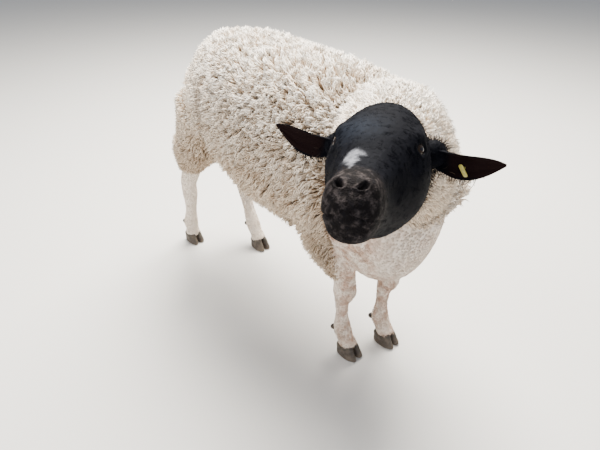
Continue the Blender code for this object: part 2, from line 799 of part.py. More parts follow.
def make_ear(side, finish):
    """One ear with its half of the root, a gap away from the head."""
    made = ear_shell(side)
    made.name = "ear_left" if side > 0 else "ear_right"
    fuse(made, [ear_root(side)])
    cut(made, beyond(mirrored(EAR_ROOT, side), -EAR_AXES[side], -GAP))
    keep_largest(made)
    made.data.transform(head_matrix())
    made.data.materials.append(finish)
    return made


def make_eye(side, finish):
    """One eyeball."""
    name = "eye_left" if side > 0 else "eye_right"
    made = oval(name, mirrored(EYE_PLACE, side), (EYE_RADIUS,) * 3, eye_turn(side), *LID_SIDES)
    made.data.transform(head_matrix())
    made.data.materials.append(finish)
    for face in made.data.polygons:
        face.use_smooth = True
    return made


def make_tag(finish):
    """The plain tag, a small rounded plate hanging in front of the left ear's cup."""
    axis = EAR_AXES[1]
    front = (EAR_OPEN - axis * EAR_OPEN.dot(axis)).normalized()
    across = axis.cross(front)
    middle = EAR_ROOT + axis * TAG_ALONG + front * TAG_AHEAD + across * TAG_DOWN
    made = block(Vector(), TAG_SIZE)
    made.name = "ear_tag"
    made.hide_render = False
    made.display_type = "TEXTURED"
    modifier_applied(made, "BEVEL", width=0.0007, segments=2, limit_method="ANGLE")
    level = Matrix.Translation(middle) @ Matrix((axis, across, -front)).transposed().to_4x4()
    made.data.transform(level @ Matrix.Rotation(TAG_LEAN, 4, "Z") @ Matrix.Rotation(TAG_TWIST, 4, "Y"))
    deep = TAG_AHEAD - ear_floor(TAG_ALONG / EAR_LENGTH, TAG_DOWN) - 2 * GAP
    pin = tube("pin", [(0, 0, 0), (0, 0, deep)], [(TAG_PIN, TAG_PIN)] * 2, 2, 10, Vector((1, 0, 0)))
    pin.data.transform(level)
    fuse(made, [pin])
    made.data.transform(head_matrix())
    made.data.materials.append(finish)
    return made


def tail_room(inset=0.0):
    """The box behind the rump that belongs to the tail, shrunk by `inset`."""
    turn = TAIL_FACING.to_track_quat("Y", "Z").to_matrix().to_4x4()
    size = TAIL_ROOM - Vector((2, 0, 2)) * inset
    return block(TAIL_BASE + TAIL_FACING * (TAIL_ROOM.y / 2 + inset), size, turn)


def make_tail(finish):
    """The short woolly tail, hanging close behind the rump."""
    places, sizes = [place for place, _ in TAIL], [size for _, size in TAIL]
    made = tube("tail", places, sizes, 8, 10, Vector((1, 0, 0)))
    grow(made, TAIL_CLUMPS, lambda place, facing: facing.y > -0.2, SEED + 5, *TAIL_CLUMP)
    keep_within(made, tail_room(GAP))
    keep_largest(made)
    made.data.materials.append(finish)
    return made


def on_neck(place, facing):
    """Whether a clump of the neck grows here: on its own side of the cut at the shoulders."""
    return (place - NECK_BASE).dot(NECK_BASE_FACING) > 0.004 and wool_share(place) > 0.6


def make_neck(finish):
    """The woolly neck between the shoulders and the head."""
    made = neck_core()
    grow(made, NECK_CLUMPS, on_neck, SEED + 1, *NECK_CLUMP)
    keep_within(made, beyond(NECK_BASE, NECK_BASE_FACING, GAP))
    joint = head_matrix()
    place = joint @ Vector((0, -HEAD_CUT, 0))
    facing = joint.to_3x3() @ Vector((0, -1, 0))
    cut(made, beyond(place, facing, -GAP))
    keep_largest(made)
    made.data.materials.append(finish)
    return made


def on_torso(place, facing):
    """Whether a clump of the torso grows here: where it is fleeced, and above the legs."""
    kind = "front" if place.y < 0 else "hind"
    near, _, front, back, top = LEG_ROOM[kind]
    leg = abs(place.x) > near and front < place.y < back and place.z < top + 0.010
    neck = (place - NECK_BASE).dot(NECK_BASE_FACING) > 0.020
    return wool_share(place) > 0.6 and not leg and not neck


def make_torso(finish):
    """The woolly body, cut clear of the neck, the legs and the tail."""
    made = torso_core()
    fuse(made, [leg_core(name, 10, 12) for name in LEG_LINES])
    grow(made, TORSO_CLUMPS, on_torso, SEED)
    cut(made, beyond(NECK_BASE, NECK_BASE_FACING))
    for name in LEG_LINES:
        cut(made, leg_room(name))
    cut(made, tail_room())
    keep_largest(made)
    made.data.materials.append(finish)
    return made


def main():
    """Builds the sheep, part by part, and sets its middle on the origin."""
    for obj in list(bpy.data.objects):
        bpy.data.objects.remove(obj)
    fleece = material("fleece", CREAM, 0.95)
    white = material("white_hair", WHITE, 0.9)
    black = material("black_hair", BLACK, 0.6)
    brown = material("ear_skin", EAR_BROWN, 0.7)
    eye = material("eye", EYE_DARK, 0.1)
    horn = material("horn", HORN, 0.6)
    yellow = material("tag_yellow", YELLOW, 0.5)
    parts = [make_torso(fleece), make_neck(fleece), make_tail(fleece), make_head(black), make_tag(yellow)]
    for side in (1, -1):
        parts.append(make_ear(side, brown))
        parts.append(make_eye(side, eye))
    for name in LEG_LINES:
        leg = make_leg(name)
        keep_largest(leg)
        leg.data.materials.append(white)
        parts.append(leg)
        parts.append(make_hoof(name, horn))
    for part in parts:
        part.data.transform(Matrix.Translation(-MIDDLE))


if __name__ == "__main__":
    main()
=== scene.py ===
"""The standing sheep, dressed: one skin, a fleece of curled locks, short hair, eyes, hooves and a tag.

Metres, +Z up. The sheep faces -Y, its left side is +X, and it looks round to its right.
The rings and middle lines are the body's own, so the skin lies inside the body's solids.
"""

import logging
import math
from dataclasses import dataclass, field
from enum import Enum, IntEnum

import bmesh
import bpy
import numpy as np
from mathutils import Matrix, Vector
from mathutils.kdtree import KDTree


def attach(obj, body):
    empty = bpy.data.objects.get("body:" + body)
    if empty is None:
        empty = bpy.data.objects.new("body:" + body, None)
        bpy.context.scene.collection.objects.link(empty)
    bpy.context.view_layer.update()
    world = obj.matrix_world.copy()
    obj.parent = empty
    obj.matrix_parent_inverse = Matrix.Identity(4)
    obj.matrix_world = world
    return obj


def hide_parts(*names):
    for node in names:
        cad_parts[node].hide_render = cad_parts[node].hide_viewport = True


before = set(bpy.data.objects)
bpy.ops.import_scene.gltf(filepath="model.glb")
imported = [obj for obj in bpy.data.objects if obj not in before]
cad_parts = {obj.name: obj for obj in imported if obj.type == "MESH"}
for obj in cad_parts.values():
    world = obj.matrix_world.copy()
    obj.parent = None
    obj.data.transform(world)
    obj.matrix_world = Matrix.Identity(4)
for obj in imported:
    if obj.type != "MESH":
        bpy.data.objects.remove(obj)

Array = np.ndarray
Object = bpy.types.Object
Socket = bpy.types.NodeSocket
Triple = tuple[float, float, float]
Patch = tuple[float, float, float, float]
Colour = Triple
log = logging.getLogger("sheep")

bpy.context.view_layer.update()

# The middle of the box round the body's solids, which is the origin.
MIDDLE = np.array((-0.1300, -0.1026, 0.0))


class Slot(Enum):
    """The record's material slots, one passed along with each piece."""

    FLEECE = "fleece"
    WHITE = "white_hair"
    BLACK = "black_hair"
    EYE = "eye"
    HORN = "horn"
    TAG = "tag_yellow"


class Side(Enum):
    """The sheep's own left and right."""

    LEFT = 1
    RIGHT = -1


class Part(IntEnum):
    """The parts of the body, in the order in which the coat's map reads them."""

    TORSO = 0
    NECK = 1
    TAIL = 2
    FRONT_RIGHT = 3
    FRONT_LEFT = 4
    HIND_RIGHT = 5
    HIND_LEFT = 6
    HEAD = 7
    LEFT_EAR = 8
    RIGHT_EAR = 9


FRONT_LEGS = (Part.FRONT_RIGHT, Part.FRONT_LEFT)
HIND_LEGS = (Part.HIND_RIGHT, Part.HIND_LEFT)
LIMBS = (Part.TAIL, *FRONT_LEGS, *HIND_LEGS)
EARS = (Part.LEFT_EAR, Part.RIGHT_EAR)


def smoothstep(low: float, high: float, value: Array) -> Array:
    """A soft rise from 0 to 1 between `low` and `high`, or a fall where `high` is the lower one."""
    t = np.clip((np.asarray(value, float) - low) / (high - low), 0.0, 1.0)
    return t * t * (3.0 - 2.0 * t)


def unit(vectors: Array) -> Array:
    """The vectors at length 1."""
    return vectors / (np.linalg.norm(vectors, axis=-1, keepdims=True) + 1e-12)


def circle(count: int) -> Array:
    """Evenly spread angles all round."""
    return np.linspace(0, 2 * np.pi, count, endpoint=False)


def turned(across: Array, up: Array) -> Array:
    """The angle round from below, as a share of a full turn."""
    return np.arctan2(across, up) / (2 * np.pi) + 0.5


def mirrored(place: Triple | Vector, side: Side) -> Array:
    """A place or direction on the left side, or its match on the right."""
    return np.array(place) * (side.value, 1, 1)


def wobble(points: Array, size: float, phase: float) -> Array:
    """A soft uneven value between about -1 and 1.

    Args:
        points: places.
        size: how wide its swells are, in metres.
        phase: a number that makes each use differ.

    Returns:
        One value for each place.
    """
    q = points / size
    turn = np.array(((0.8, 0.6, 0.1), (-0.5, 0.7, 0.6), (0.3, -0.4, 0.9)))
    total = np.zeros(len(points))
    for octave in range(3):
        r = q @ turn.T * (1.9**octave) + phase * (octave + 1)
        wave = np.sin(r[:, 0] + np.sin(r[:, 1] * 1.3)) * np.cos(r[:, 2] + np.sin(r[:, 0] * 0.7))
        total += wave / (1.6**octave)
    return total / 1.6


def spline(keys: Array, values: Array, at: Array) -> Array:
    """Smooth values through keyed ones, at other places.

    Args:
        keys: rising places of the known values.
        values: one value or row of values for each key.
        at: where values are wanted.

    Returns:
        The smooth values at `at`.
    """
    keys, values, at = np.asarray(keys, float), np.asarray(values, float), np.asarray(at, float)
    slopes = np.gradient(values, keys, axis=0)
    i = np.clip(np.searchsorted(keys, at, side="right") - 1, 0, len(keys) - 2)
    step = keys[i + 1] - keys[i]
    t = (at - keys[i]) / step
    if values.ndim > 1:
        t, step = t[:, None], step[:, None]
    return (
        (2 * t**3 - 3 * t**2 + 1) * values[i]
        + (t**3 - 2 * t**2 + t) * step * slopes[i]
        + (3 * t**2 - 2 * t**3) * values[i + 1]
        + (t**3 - t**2) * step * slopes[i + 1]
    )


def warped(count: int, first: float, last: float, crowds: tuple[Triple, ...]) -> Array:
    """Rising numbers that stand closer together at chosen places.

    Args:
        count: how many numbers.
        first: the lowest.
        last: the highest.
        crowds: (place, spread, how much closer) for each crowded place.

    Returns:
        The numbers.
    """
    fine = np.linspace(first, last, 4000)
    density = np.ones_like(fine)
    for place, spread, gain in crowds:
        density += gain * np.exp(-(((fine - place) / spread) ** 2))
    total = np.concatenate([[0.0], np.cumsum((density[1:] + density[:-1]) / 2)])
    return np.interp(np.linspace(0.0, total[-1], count), total, fine)


def oval(
    angles: Array, half: Array, rise: Array, drop: Array, crown: Array, base: Array
) -> tuple[Array, Array]:
    """Points on squared-off ovals, across and up from their middles.

    Args:
        angles: (K,) angles round each oval.
        half: (M,) half widths.
        rise: (M,) heights above the middle.
        drop: (M,) depths below it.
        crown: (M,) squareness of the upper half.
        base: (M,) squareness of the lower half.

    Returns:
        Two (M, K) arrays.
    """
    c, s = np.cos(angles)[None, :], np.sin(angles)[None, :]
    up = s > 0
    height = np.where(up, rise[:, None], drop[:, None])
    power = np.where(up, crown[:, None], base[:, None])
    across = half[:, None] * np.sign(c) * np.abs(c) ** (2.0 / power)
    return across, height * np.sign(s) * np.abs(s) ** (2.0 / power)


def grid_normals(grid: Array) -> Array:
    """Outward normals of a grid that is closed round its second axis.

    Args:
        grid: (M, K, 3) rings.

    Returns:
        (M, K, 3) normals.
    """
    along = np.gradient(grid, axis=0)
    around = np.roll(grid, -1, axis=1) - np.roll(grid, 1, axis=1)
    normal = unit(np.cross(around, along))
    outward = grid - grid.mean(axis=1, keepdims=True)
    return normal * np.sign((normal * outward).sum())


def linked(name: str, data: bpy.types.ID) -> Object:
    """A new object in the scene.

    Args:
        name: the object's name.
        data: its mesh, light or camera.

    Returns:
        The object, at the origin.
    """
    made = bpy.data.objects.new(name, data)
    bpy.context.scene.collection.objects.link(made)
    return made


def new_object(name: str, points: Array, quads: Array | None, tris: Array | None) -> Object:
    """A mesh object from arrays.

    Args:
        name: the object's name.
        points: (N, 3) places.
        quads: (Q, 4) corners, or None.
        tris: (T, 3) corners, or None.

    Returns:
        The linked object, shaded smooth.
    """
    quads = np.zeros((0, 4), np.int32) if quads is None else np.asarray(quads, np.int32)
    tris = np.zeros((0, 3), np.int32) if tris is None else np.asarray(tris, np.int32)
    mesh = bpy.data.meshes.new(name)
    mesh.vertices.add(len(points))
    mesh.vertices.foreach_set("co", np.asarray(points, np.float32).ravel())
    corners = np.concatenate([quads.ravel(), tris.ravel()]).astype(np.int32)
    mesh.loops.add(len(corners))
    mesh.loops.foreach_set("vertex_index", corners)
    counts = np.concatenate([np.full(len(quads), 4), np.full(len(tris), 3)]).astype(np.int32)
    mesh.polygons.add(len(counts))
    mesh.polygons.foreach_set("loop_start", np.concatenate([[0], np.cumsum(counts)[:-1]]).astype(np.int32))
    mesh.update(calc_edges=True)
    mesh.shade_smooth()
    return linked(name, mesh)


def grid_object(name: str, grid: Array, first: Array | None = None, last: Array | None = None) -> Object:
    """A closed skin over a grid of rings.

    Args:
        name: the object's name.
        grid: (M, K, 3) rings.
        first: a pole before the first ring, or None for the ring's middle.
        last: a pole past the last ring, or None for the ring's middle.

    Returns:
        The object, its faces outwards.
    """
    rows, count, _ = grid.shape
    first = grid[0].mean(axis=0) if first is None else first
    last = grid[-1].mean(axis=0) if last is None else last
    points = np.concatenate([grid.reshape(-1, 3), [first, last]])
    i, j = np.meshgrid(np.arange(rows - 1), np.arange(count), indexing="ij")
    k = (j + 1) % count
    low, high = i * count, (i + 1) * count
    quads = np.stack([low + j, low + k, high + k, high + j], -1).reshape(-1, 4)
    j = np.arange(count)
    k, end = (j + 1) % count, (rows - 1) * count
    caps = np.stack([k, j, np.full(count, rows * count)], -1)
    tips = np.stack([end + j, end + k, np.full(count, rows * count + 1)], -1)
    made = new_object(name, points, quads, np.concatenate([caps, tips]))
    face_out(made)
    return made


def face_out(obj: Object) -> None:
    """Turns a closed mesh's faces outwards.

    Args:
        obj: the mesh object.
    """
    shape = bmesh.new()
    shape.from_mesh(obj.data)
    bmesh.ops.recalc_face_normals(shape, faces=shape.faces)
    if shape.calc_volume(signed=True) < 0:
        bmesh.ops.reverse_faces(shape, faces=shape.faces)
    shape.to_mesh(obj.data)
    shape.free()


def bake_modifiers(obj: Object) -> None:
    """Puts the result of an object's modifiers into its mesh, and clears them.

    Args:
        obj: the mesh object.
    """
    graph = bpy.context.evaluated_depsgraph_get()
    graph.update()
    mesh = bpy.data.meshes.new_from_object(obj.evaluated_get(graph), depsgraph=graph)
    obj.modifiers.clear()
    old = obj.data
    obj.data = mesh
    mesh.name = obj.name
    bpy.data.meshes.remove(old)


def joined(name: str, parts: list[Object]) -> Object:
    """One object from several, with the parts removed.

    Args:
        name: the new object's name.
        parts: mesh objects at the origin.

    Returns:
        The joined object.
    """
    shape = bmesh.new()
    for part in parts:
        shape.from_mesh(part.data)
        bpy.data.objects.remove(part, do_unlink=True)
    mesh = bpy.data.meshes.new(name)
    shape.to_mesh(mesh)
    shape.free()
    mesh.shade_smooth()
    return linked(name, mesh)


def fused(obj: Object, others: list[Object]) -> None:
    """Joins closed objects to one by unions, and removes them.

    Args:
        obj: the object that stays.
        others: the objects that go into it.
    """
    for other in others:
        union = obj.modifiers.new("Fuse", "BOOLEAN")
        union.operation = "UNION"
        union.solver = "MANIFOLD"
        union.object = other
        bake_modifiers(obj)
        bpy.data.objects.remove(other, do_unlink=True)


def read(data: bpy.types.bpy_prop_collection, key: str, width: int = 3, kind: type = np.float32) -> Array:
    """Reads what each item of a mesh holds.

    Args:
        data: the mesh's items.
        key: what is read from each.
        width: how many numbers that is.
        kind: the numbers' type.

    Returns:
        One number or row for each item.
    """
    found = np.empty(len(data) * width, kind)
    data.foreach_get(key, found)
    return found if width == 1 else found.reshape(-1, width)


def mesh_points(obj: Object) -> Array:
    """The places of a mesh's vertices."""
    return read(obj.data.vertices, "co").astype(float)


def mesh_normals(obj: Object) -> Array:
    """The normals at a mesh's vertices."""
    return read(obj.data.vertex_normals, "vector").astype(float)


def mesh_triangles(obj: Object) -> Array:
    """A mesh's faces as triangles."""
    obj.data.calc_loop_triangles()
    return read(obj.data.loop_triangles, "vertices", 3, np.int32)


def get_values(obj: Object, name: str, width: int = 1) -> Array:
    """The number or vector that is stored for each vertex under a name."""
    return read(obj.data.attributes[name].data, "value" if width == 1 else "vector", width)


def put_values(obj: Object, name: str, values: Array) -> None:
    """Stores one number or vector for each vertex.

    Args:
        obj: the mesh object.
        name: the name that they are stored under.
        values: (N,) numbers or (N, 3) vectors.
    """
    kind, key = ("FLOAT", "value") if values.ndim == 1 else ("FLOAT_VECTOR", "vector")
    made = obj.data.attributes.new(name, kind, "POINT")
    made.data.foreach_set(key, values.astype(np.float32).ravel())


def put_bake_map(obj: Object, places: Array) -> None:
    """Gives a coat piece its map.

    Args:
        obj: the piece.
        places: (N, 2) places on the map, one for each vertex.
    """
    corners = read(obj.data.loops, "vertex_index", 1, np.int32)
    layer = obj.data.uv_layers.new(name="OFBake")
    layer.uv.foreach_set("vector", places.astype(np.float32)[corners].ravel())


def put_piece(obj: Object, slot: Slot, material: bpy.types.Material, *nodes: str) -> Object:
    """Gives a finished piece its finish and its body, and hides the model's nodes that it stands for.

    Args:
        obj: the piece, in place.
        slot: the record's slot that the finish belongs to; not used.
        material: the finish.
        nodes: names of the nodes it stands for.

    Returns:
        The piece.
    """
    obj.data.materials.clear()
    obj.data.materials.append(material)
    obj.data.polygons.foreach_set("material_index", np.zeros(len(obj.data.polygons), np.int32))
    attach(obj, "root")
    if nodes:
        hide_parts(*nodes)
    log.info("%s: %d faces", obj.name, len(obj.data.polygons))
    return obj


@dataclass(frozen=True)
class Ring:
    """A cross-section: how far along it is, its middle height, half width, rise, drop and squareness."""

    along: float
    middle: float
    half: float
    rise: float
    drop: float
    crown: float = 2.2
    base: float = 2.1


@dataclass(frozen=True)
class Form:
    """A soft rise or hollow: its place on the left side, how far it spreads, and its height."""

    place: Triple
    spread: Triple
    lift: float


TORSO = (
    Ring(-0.440, 0.430, 0.040, 0.050, 0.050, 2.0, 2.0),
    Ring(-0.422, 0.432, 0.085, 0.105, 0.108, 2.1, 2.0),
    Ring(-0.378, 0.442, 0.118, 0.150, 0.165, 2.1, 2.0),
    Ring(-0.300, 0.468, 0.132, 0.172, 0.202, 2.1, 1.9),
    Ring(-0.220, 0.485, 0.136, 0.177, 0.180, 2.1, 1.7),
    Ring(-0.120, 0.490, 0.142, 0.179, 0.140, 2.2, 1.8),
    Ring(0.000, 0.492, 0.145, 0.181, 0.125, 2.2, 1.9),
    Ring(0.070, 0.495, 0.140, 0.182, 0.098, 2.2, 1.8),
    Ring(0.130, 0.496, 0.131, 0.182, 0.060, 2.1, 1.8),
    Ring(0.180, 0.490, 0.118, 0.184, 0.034, 2.0, 1.9),
    Ring(0.230, 0.475, 0.094, 0.183, 0.036, 1.85, 2.0),
    Ring(0.270, 0.465, 0.073, 0.157, 0.055, 1.75, 2.0),
    Ring(0.305, 0.455, 0.051, 0.117, 0.070, 1.75, 2.0),
    Ring(0.330, 0.450, 0.031, 0.073, 0.060, 1.8, 2.0),
    Ring(0.343, 0.452, 0.017, 0.036, 0.030, 2.0, 2.0),
)

HEAD = (
    Ring(-0.030, 0.005, 0.0504, 0.0611, 0.0588, 2.1, 2.0),
    Ring(0.010, 0.008, 0.0576, 0.0824, 0.0890, 2.1, 1.9),
    Ring(0.050, 0.008, 0.0637, 0.0812, 0.0907, 2.1, 1.8),
    Ring(0.095, 0.006, 0.0594, 0.0692, 0.0810, 2.2, 1.8),
    Ring(0.130, 0.000, 0.0481, 0.0563, 0.0672, 2.2, 1.8),
    Ring(0.165, -0.008, 0.0368, 0.0401, 0.0515, 2.2, 1.9),
    Ring(0.200, -0.011, 0.0305, 0.0320, 0.0430, 2.2, 2.1),
    Ring(0.228, -0.012, 0.0288, 0.0280, 0.0385, 2.3, 2.2),
    Ring(0.247, -0.013, 0.0230, 0.0200, 0.0293, 2.2, 2.2),
    Ring(0.257, -0.014, 0.0117, 0.0090, 0.0131, 2.0, 2.0),
)

# The neck's middle line from the shoulders to the skull, with its half width and half height.
NECK = (
    ((0.015, -0.190, 0.500), 0.105, 0.140),
    ((-0.002, -0.290, 0.526), 0.094, 0.128),
    ((-0.052, -0.372, 0.572), 0.080, 0.106),
    ((-0.136, -0.436, 0.622), 0.062, 0.086),
    ((-0.2365, -0.4909, 0.6680), 0.051, 0.068),
    ((-0.2810, -0.5143, 0.6800), 0.046, 0.062),
)

# The middle line of each leg from inside the body down to the top of its hoof.
LEG_LINES = {
    "front_right": (
        (-0.082, -0.225, 0.430), (-0.076, -0.250, 0.350), (-0.067, -0.272, 0.285),
        (-0.060, -0.280, 0.240), (-0.056, -0.280, 0.200), (-0.054, -0.272, 0.165),
        (-0.052, -0.272, 0.120), (-0.051, -0.276, 0.074), (-0.050, -0.288, 0.048),
        (-0.049, -0.295, 0.028),
    ),
    "front_left": (
        (0.084, -0.240, 0.430), (0.080, -0.275, 0.350), (0.070, -0.303, 0.285),
        (0.064, -0.316, 0.240), (0.056, -0.320, 0.200), (0.053, -0.313, 0.165),
        (0.051, -0.312, 0.120), (0.049, -0.314, 0.074), (0.053, -0.324, 0.048),
        (0.053, -0.331, 0.028),
    ),
    "hind_right": (
        (-0.078, 0.212, 0.510), (-0.082, 0.240, 0.440), (-0.085, 0.292, 0.365),
        (-0.084, 0.320, 0.300), (-0.084, 0.345, 0.250), (-0.078, 0.358, 0.205),
        (-0.073, 0.374, 0.135), (-0.070, 0.392, 0.076), (-0.068, 0.392, 0.050),
        (-0.067, 0.396, 0.028),
    ),
    "hind_left": (
        (0.080, 0.200, 0.510), (0.092, 0.215, 0.440), (0.098, 0.240, 0.365),
        (0.094, 0.262, 0.300), (0.084, 0.283, 0.250), (0.079, 0.290, 0.205),
        (0.075, 0.268, 0.135), (0.073, 0.244, 0.076), (0.072, 0.228, 0.050),
        (0.072, 0.217, 0.028),
    ),
}

# Half width across and half depth along the sheep at each place of a leg's middle line.
LEG_SIZES = {
    "front": (
        (0.040, 0.062), (0.036, 0.050), (0.030, 0.036),
        (0.0235, 0.026), (0.0255, 0.027), (0.0168, 0.0180),
        (0.0138, 0.0150), (0.0210, 0.0215), (0.0190, 0.0200),
        (0.0235, 0.0260),
    ),
    "hind": (
        (0.046, 0.085), (0.044, 0.064), (0.033, 0.041),
        (0.0235, 0.030), (0.0195, 0.0270), (0.0195, 0.0275),
        (0.0155, 0.0180), (0.0210, 0.0220), (0.0185, 0.0200),
        (0.0230, 0.0255),
    ),
}

HEAD_PLACE = Vector((-0.2365, -0.4909, 0.6626))
HEAD_YAW = math.radians(-60.1)
HEAD_PITCH = math.radians(22.8)
HEAD_ROLL = math.radians(1.9)
EYE_RADIUS = 0.0120
EYE_PLACE = Vector((0.0412, -0.0940, 0.0362))
EYE_FACING = Vector((0.86, -0.40, 0.24)).normalized()
EAR_ROOT = Vector((0.0675, -0.022, 0.032))
EAR_AXES = {
    Side.LEFT: Vector((0.980, -0.19, -0.055)).normalized(),
    Side.RIGHT: Vector((-0.965, -0.05, 0.22)).normalized(),
}
EAR_OPEN = Vector((0.0, -0.86, -0.45)).normalized()
EAR_LENGTH = 0.086
EAR_WIDTH = 0.047
EAR_BOW = 0.010
EAR_THICKNESS = 0.0032


def ring_values(rings: tuple[Ring, ...], at: Array) -> Array:
    """Middle, half width, rise, drop, crown and base squareness at places along keyed rings."""
    table = [(r.middle, r.half, r.rise, r.drop, r.crown, r.base) for r in rings]
    return spline(np.array([r.along for r in rings]), np.array(table), at)


def ring_grid(rings: tuple[Ring, ...], along: Array, angles: Array, sign: float = 1.0) -> Array:
    """Rings of points across the y axis.

    Args:
        rings: the keyed rings.
        along: how far along each ring of points stands.
        angles: the angles round each ring.
        sign: -1 where a ring's distance runs towards -Y.

    Returns:
        A (len(along), len(angles), 3) grid.
    """
    middle, *rest = ring_values(rings, along).T
    across, up = oval(angles, *rest)
    y = np.broadcast_to(sign * along[:, None], across.shape)
    return np.stack([across, y, middle[:, None] + up], -1)


def head_matrix() -> Matrix:
    """From the head's own frame, forward -Y and up +Z, to the sheep's."""
    turn = Matrix.Rotation(HEAD_YAW, 4, "Z") @ Matrix.Rotation(-HEAD_PITCH, 4, "X")
    return Matrix.Translation(HEAD_PLACE - Vector(MIDDLE)) @ turn @ Matrix.Rotation(-HEAD_ROLL, 4, "Y")


HEAD_FRAME = np.array(head_matrix())
HEAD_BACK = np.array(head_matrix().inverted())


def to_head(points: Array) -> Array:
    """Places in the head's own frame."""
    return points @ HEAD_BACK[:3, :3].T + HEAD_BACK[:3, 3]


def from_head(points: Array) -> Array:
    """Places in the head's own frame, put into the sheep's."""
    return points @ HEAD_FRAME[:3, :3].T + HEAD_FRAME[:3, 3]


@dataclass(frozen=True)
class Limb:
    """A limb as a smooth line with half sizes along it, and its place on the coat's unwrap."""

    places: tuple[Triple, ...]
    sizes: tuple[tuple[float, float], ...]
    patch: Patch
    side: Triple = (1.0, 0.0, 0.0)
    rings: int = 110
    sides: int = 32
    square: float = 2.1

    def line(self, count: int) -> tuple[Array, Array]:
        """The middle line and half sizes at evenly spread places.

        Args:
            count: how many places.

        Returns:
            (count, 3) places and (count, 2) half sizes.
        """
        keys = np.arange(len(self.places))
        at = np.linspace(0, len(self.places) - 1, count)
        return spline(keys, np.array(self.places) - MIDDLE, at), spline(keys, np.array(self.sizes), at)

    def frame(self, ahead: Array) -> tuple[Array, Array]:
        """The directions across and up a limb that runs along `ahead`."""
        up = unit(np.cross(np.array(self.side), ahead))
        return np.cross(ahead, up), up

    def build(self, name: str) -> Object:
        """The closed flesh of the limb.

        Args:
            name: the object's name.

        Returns:
            The object.
        """
        line, reach = self.line(self.rings)
        side, up = self.frame(unit(np.gradient(line, axis=0)))
        power = np.full(self.rings, self.square)
        across, height = oval(circle(self.sides), reach[:, 0], reach[:, 1], reach[:, 1], power, power)
        flat = line[:, None] + side[:, None] * across[..., None]
        return grid_object(name, flat + up[:, None] * height[..., None])

    def read(self, points: Array) -> tuple[Array, Array, Array, Array]:
        """Where places are along and around the limb.

        Args:
            points: (N, 3) places.

        Returns:
            The distance in limb radii, the share along, the angle around and the direction along.
        """
        steps, batch = 80, 20000
        line, reach = self.line(steps)
        ahead = unit(np.gradient(line, axis=0))
        nearest = np.empty(len(points), int)
        for start in range(0, len(points), batch):
            some = slice(start, start + batch)
            nearest[some] = ((points[some, None] - line[None]) ** 2).sum(-1).argmin(1)
        off = points - line[nearest]
        side, up = self.frame(ahead[nearest])
        a, b = (off * side).sum(-1), (off * up).sum(-1)
        far = np.hypot(a / reach[nearest, 0], b / reach[nearest, 1])
        beyond = np.abs((off * ahead[nearest]).sum(-1)) / reach[nearest].mean(1)
        return np.maximum(far, beyond), nearest / (steps - 1.0), np.arctan2(a, b), ahead[nearest]


# The tail's middle line, with its half width and half depth.
TAIL = (
    ((0.0, 0.320, 0.566), (0.022, 0.018)),
    ((0.0, 0.362, 0.544), (0.018, 0.013)),
    ((0.0, 0.384, 0.492), (0.013, 0.010)),
    ((0.0, 0.387, 0.446), (0.006, 0.005)),
)


NECK_LIMB = Limb(
    tuple(place for place, _, _ in NECK),
    tuple((half, tall) for _, half, tall in NECK),
    (0.0, 0.58, 0.38, 0.79),
    side=(0.8, -0.6, 0.0),
    rings=90,
    sides=60,
    square=2.15,
)
TAIL_LIMB = Limb(
    tuple(place for place, _ in TAIL),
    tuple(size for _, size in TAIL),
    (0.39, 0.58, 0.46, 0.79),
    rings=30,
    sides=20,
)
LEG_LIMBS = {
    name: Limb(line, LEG_SIZES[name.split("_")[0]], (0.25 * i, 0.80, 0.25 * i + 0.24, 0.92), sides=30)
    for i, (name, line) in enumerate(LEG_LINES.items())
}


@dataclass
class Torso:
    """The barrel, chest and rump, as flesh without its fleece."""

    rings: int = 100
    sides: int = 90
    cap: float = 0.008

    def build(self) -> Object:
        """The closed torso.

        Returns:
            The object.
        """
        along = np.linspace(TORSO[0].along, TORSO[-1].along, self.rings)
        front = np.array((0, TORSO[0].along - self.cap, TORSO[0].middle)) - MIDDLE
        back = np.array((0, TORSO[-1].along + self.cap, TORSO[-1].middle)) - MIDDLE
        return grid_object("torso_flesh", ring_grid(TORSO, along, circle(self.sides)) - MIDDLE, front, back)


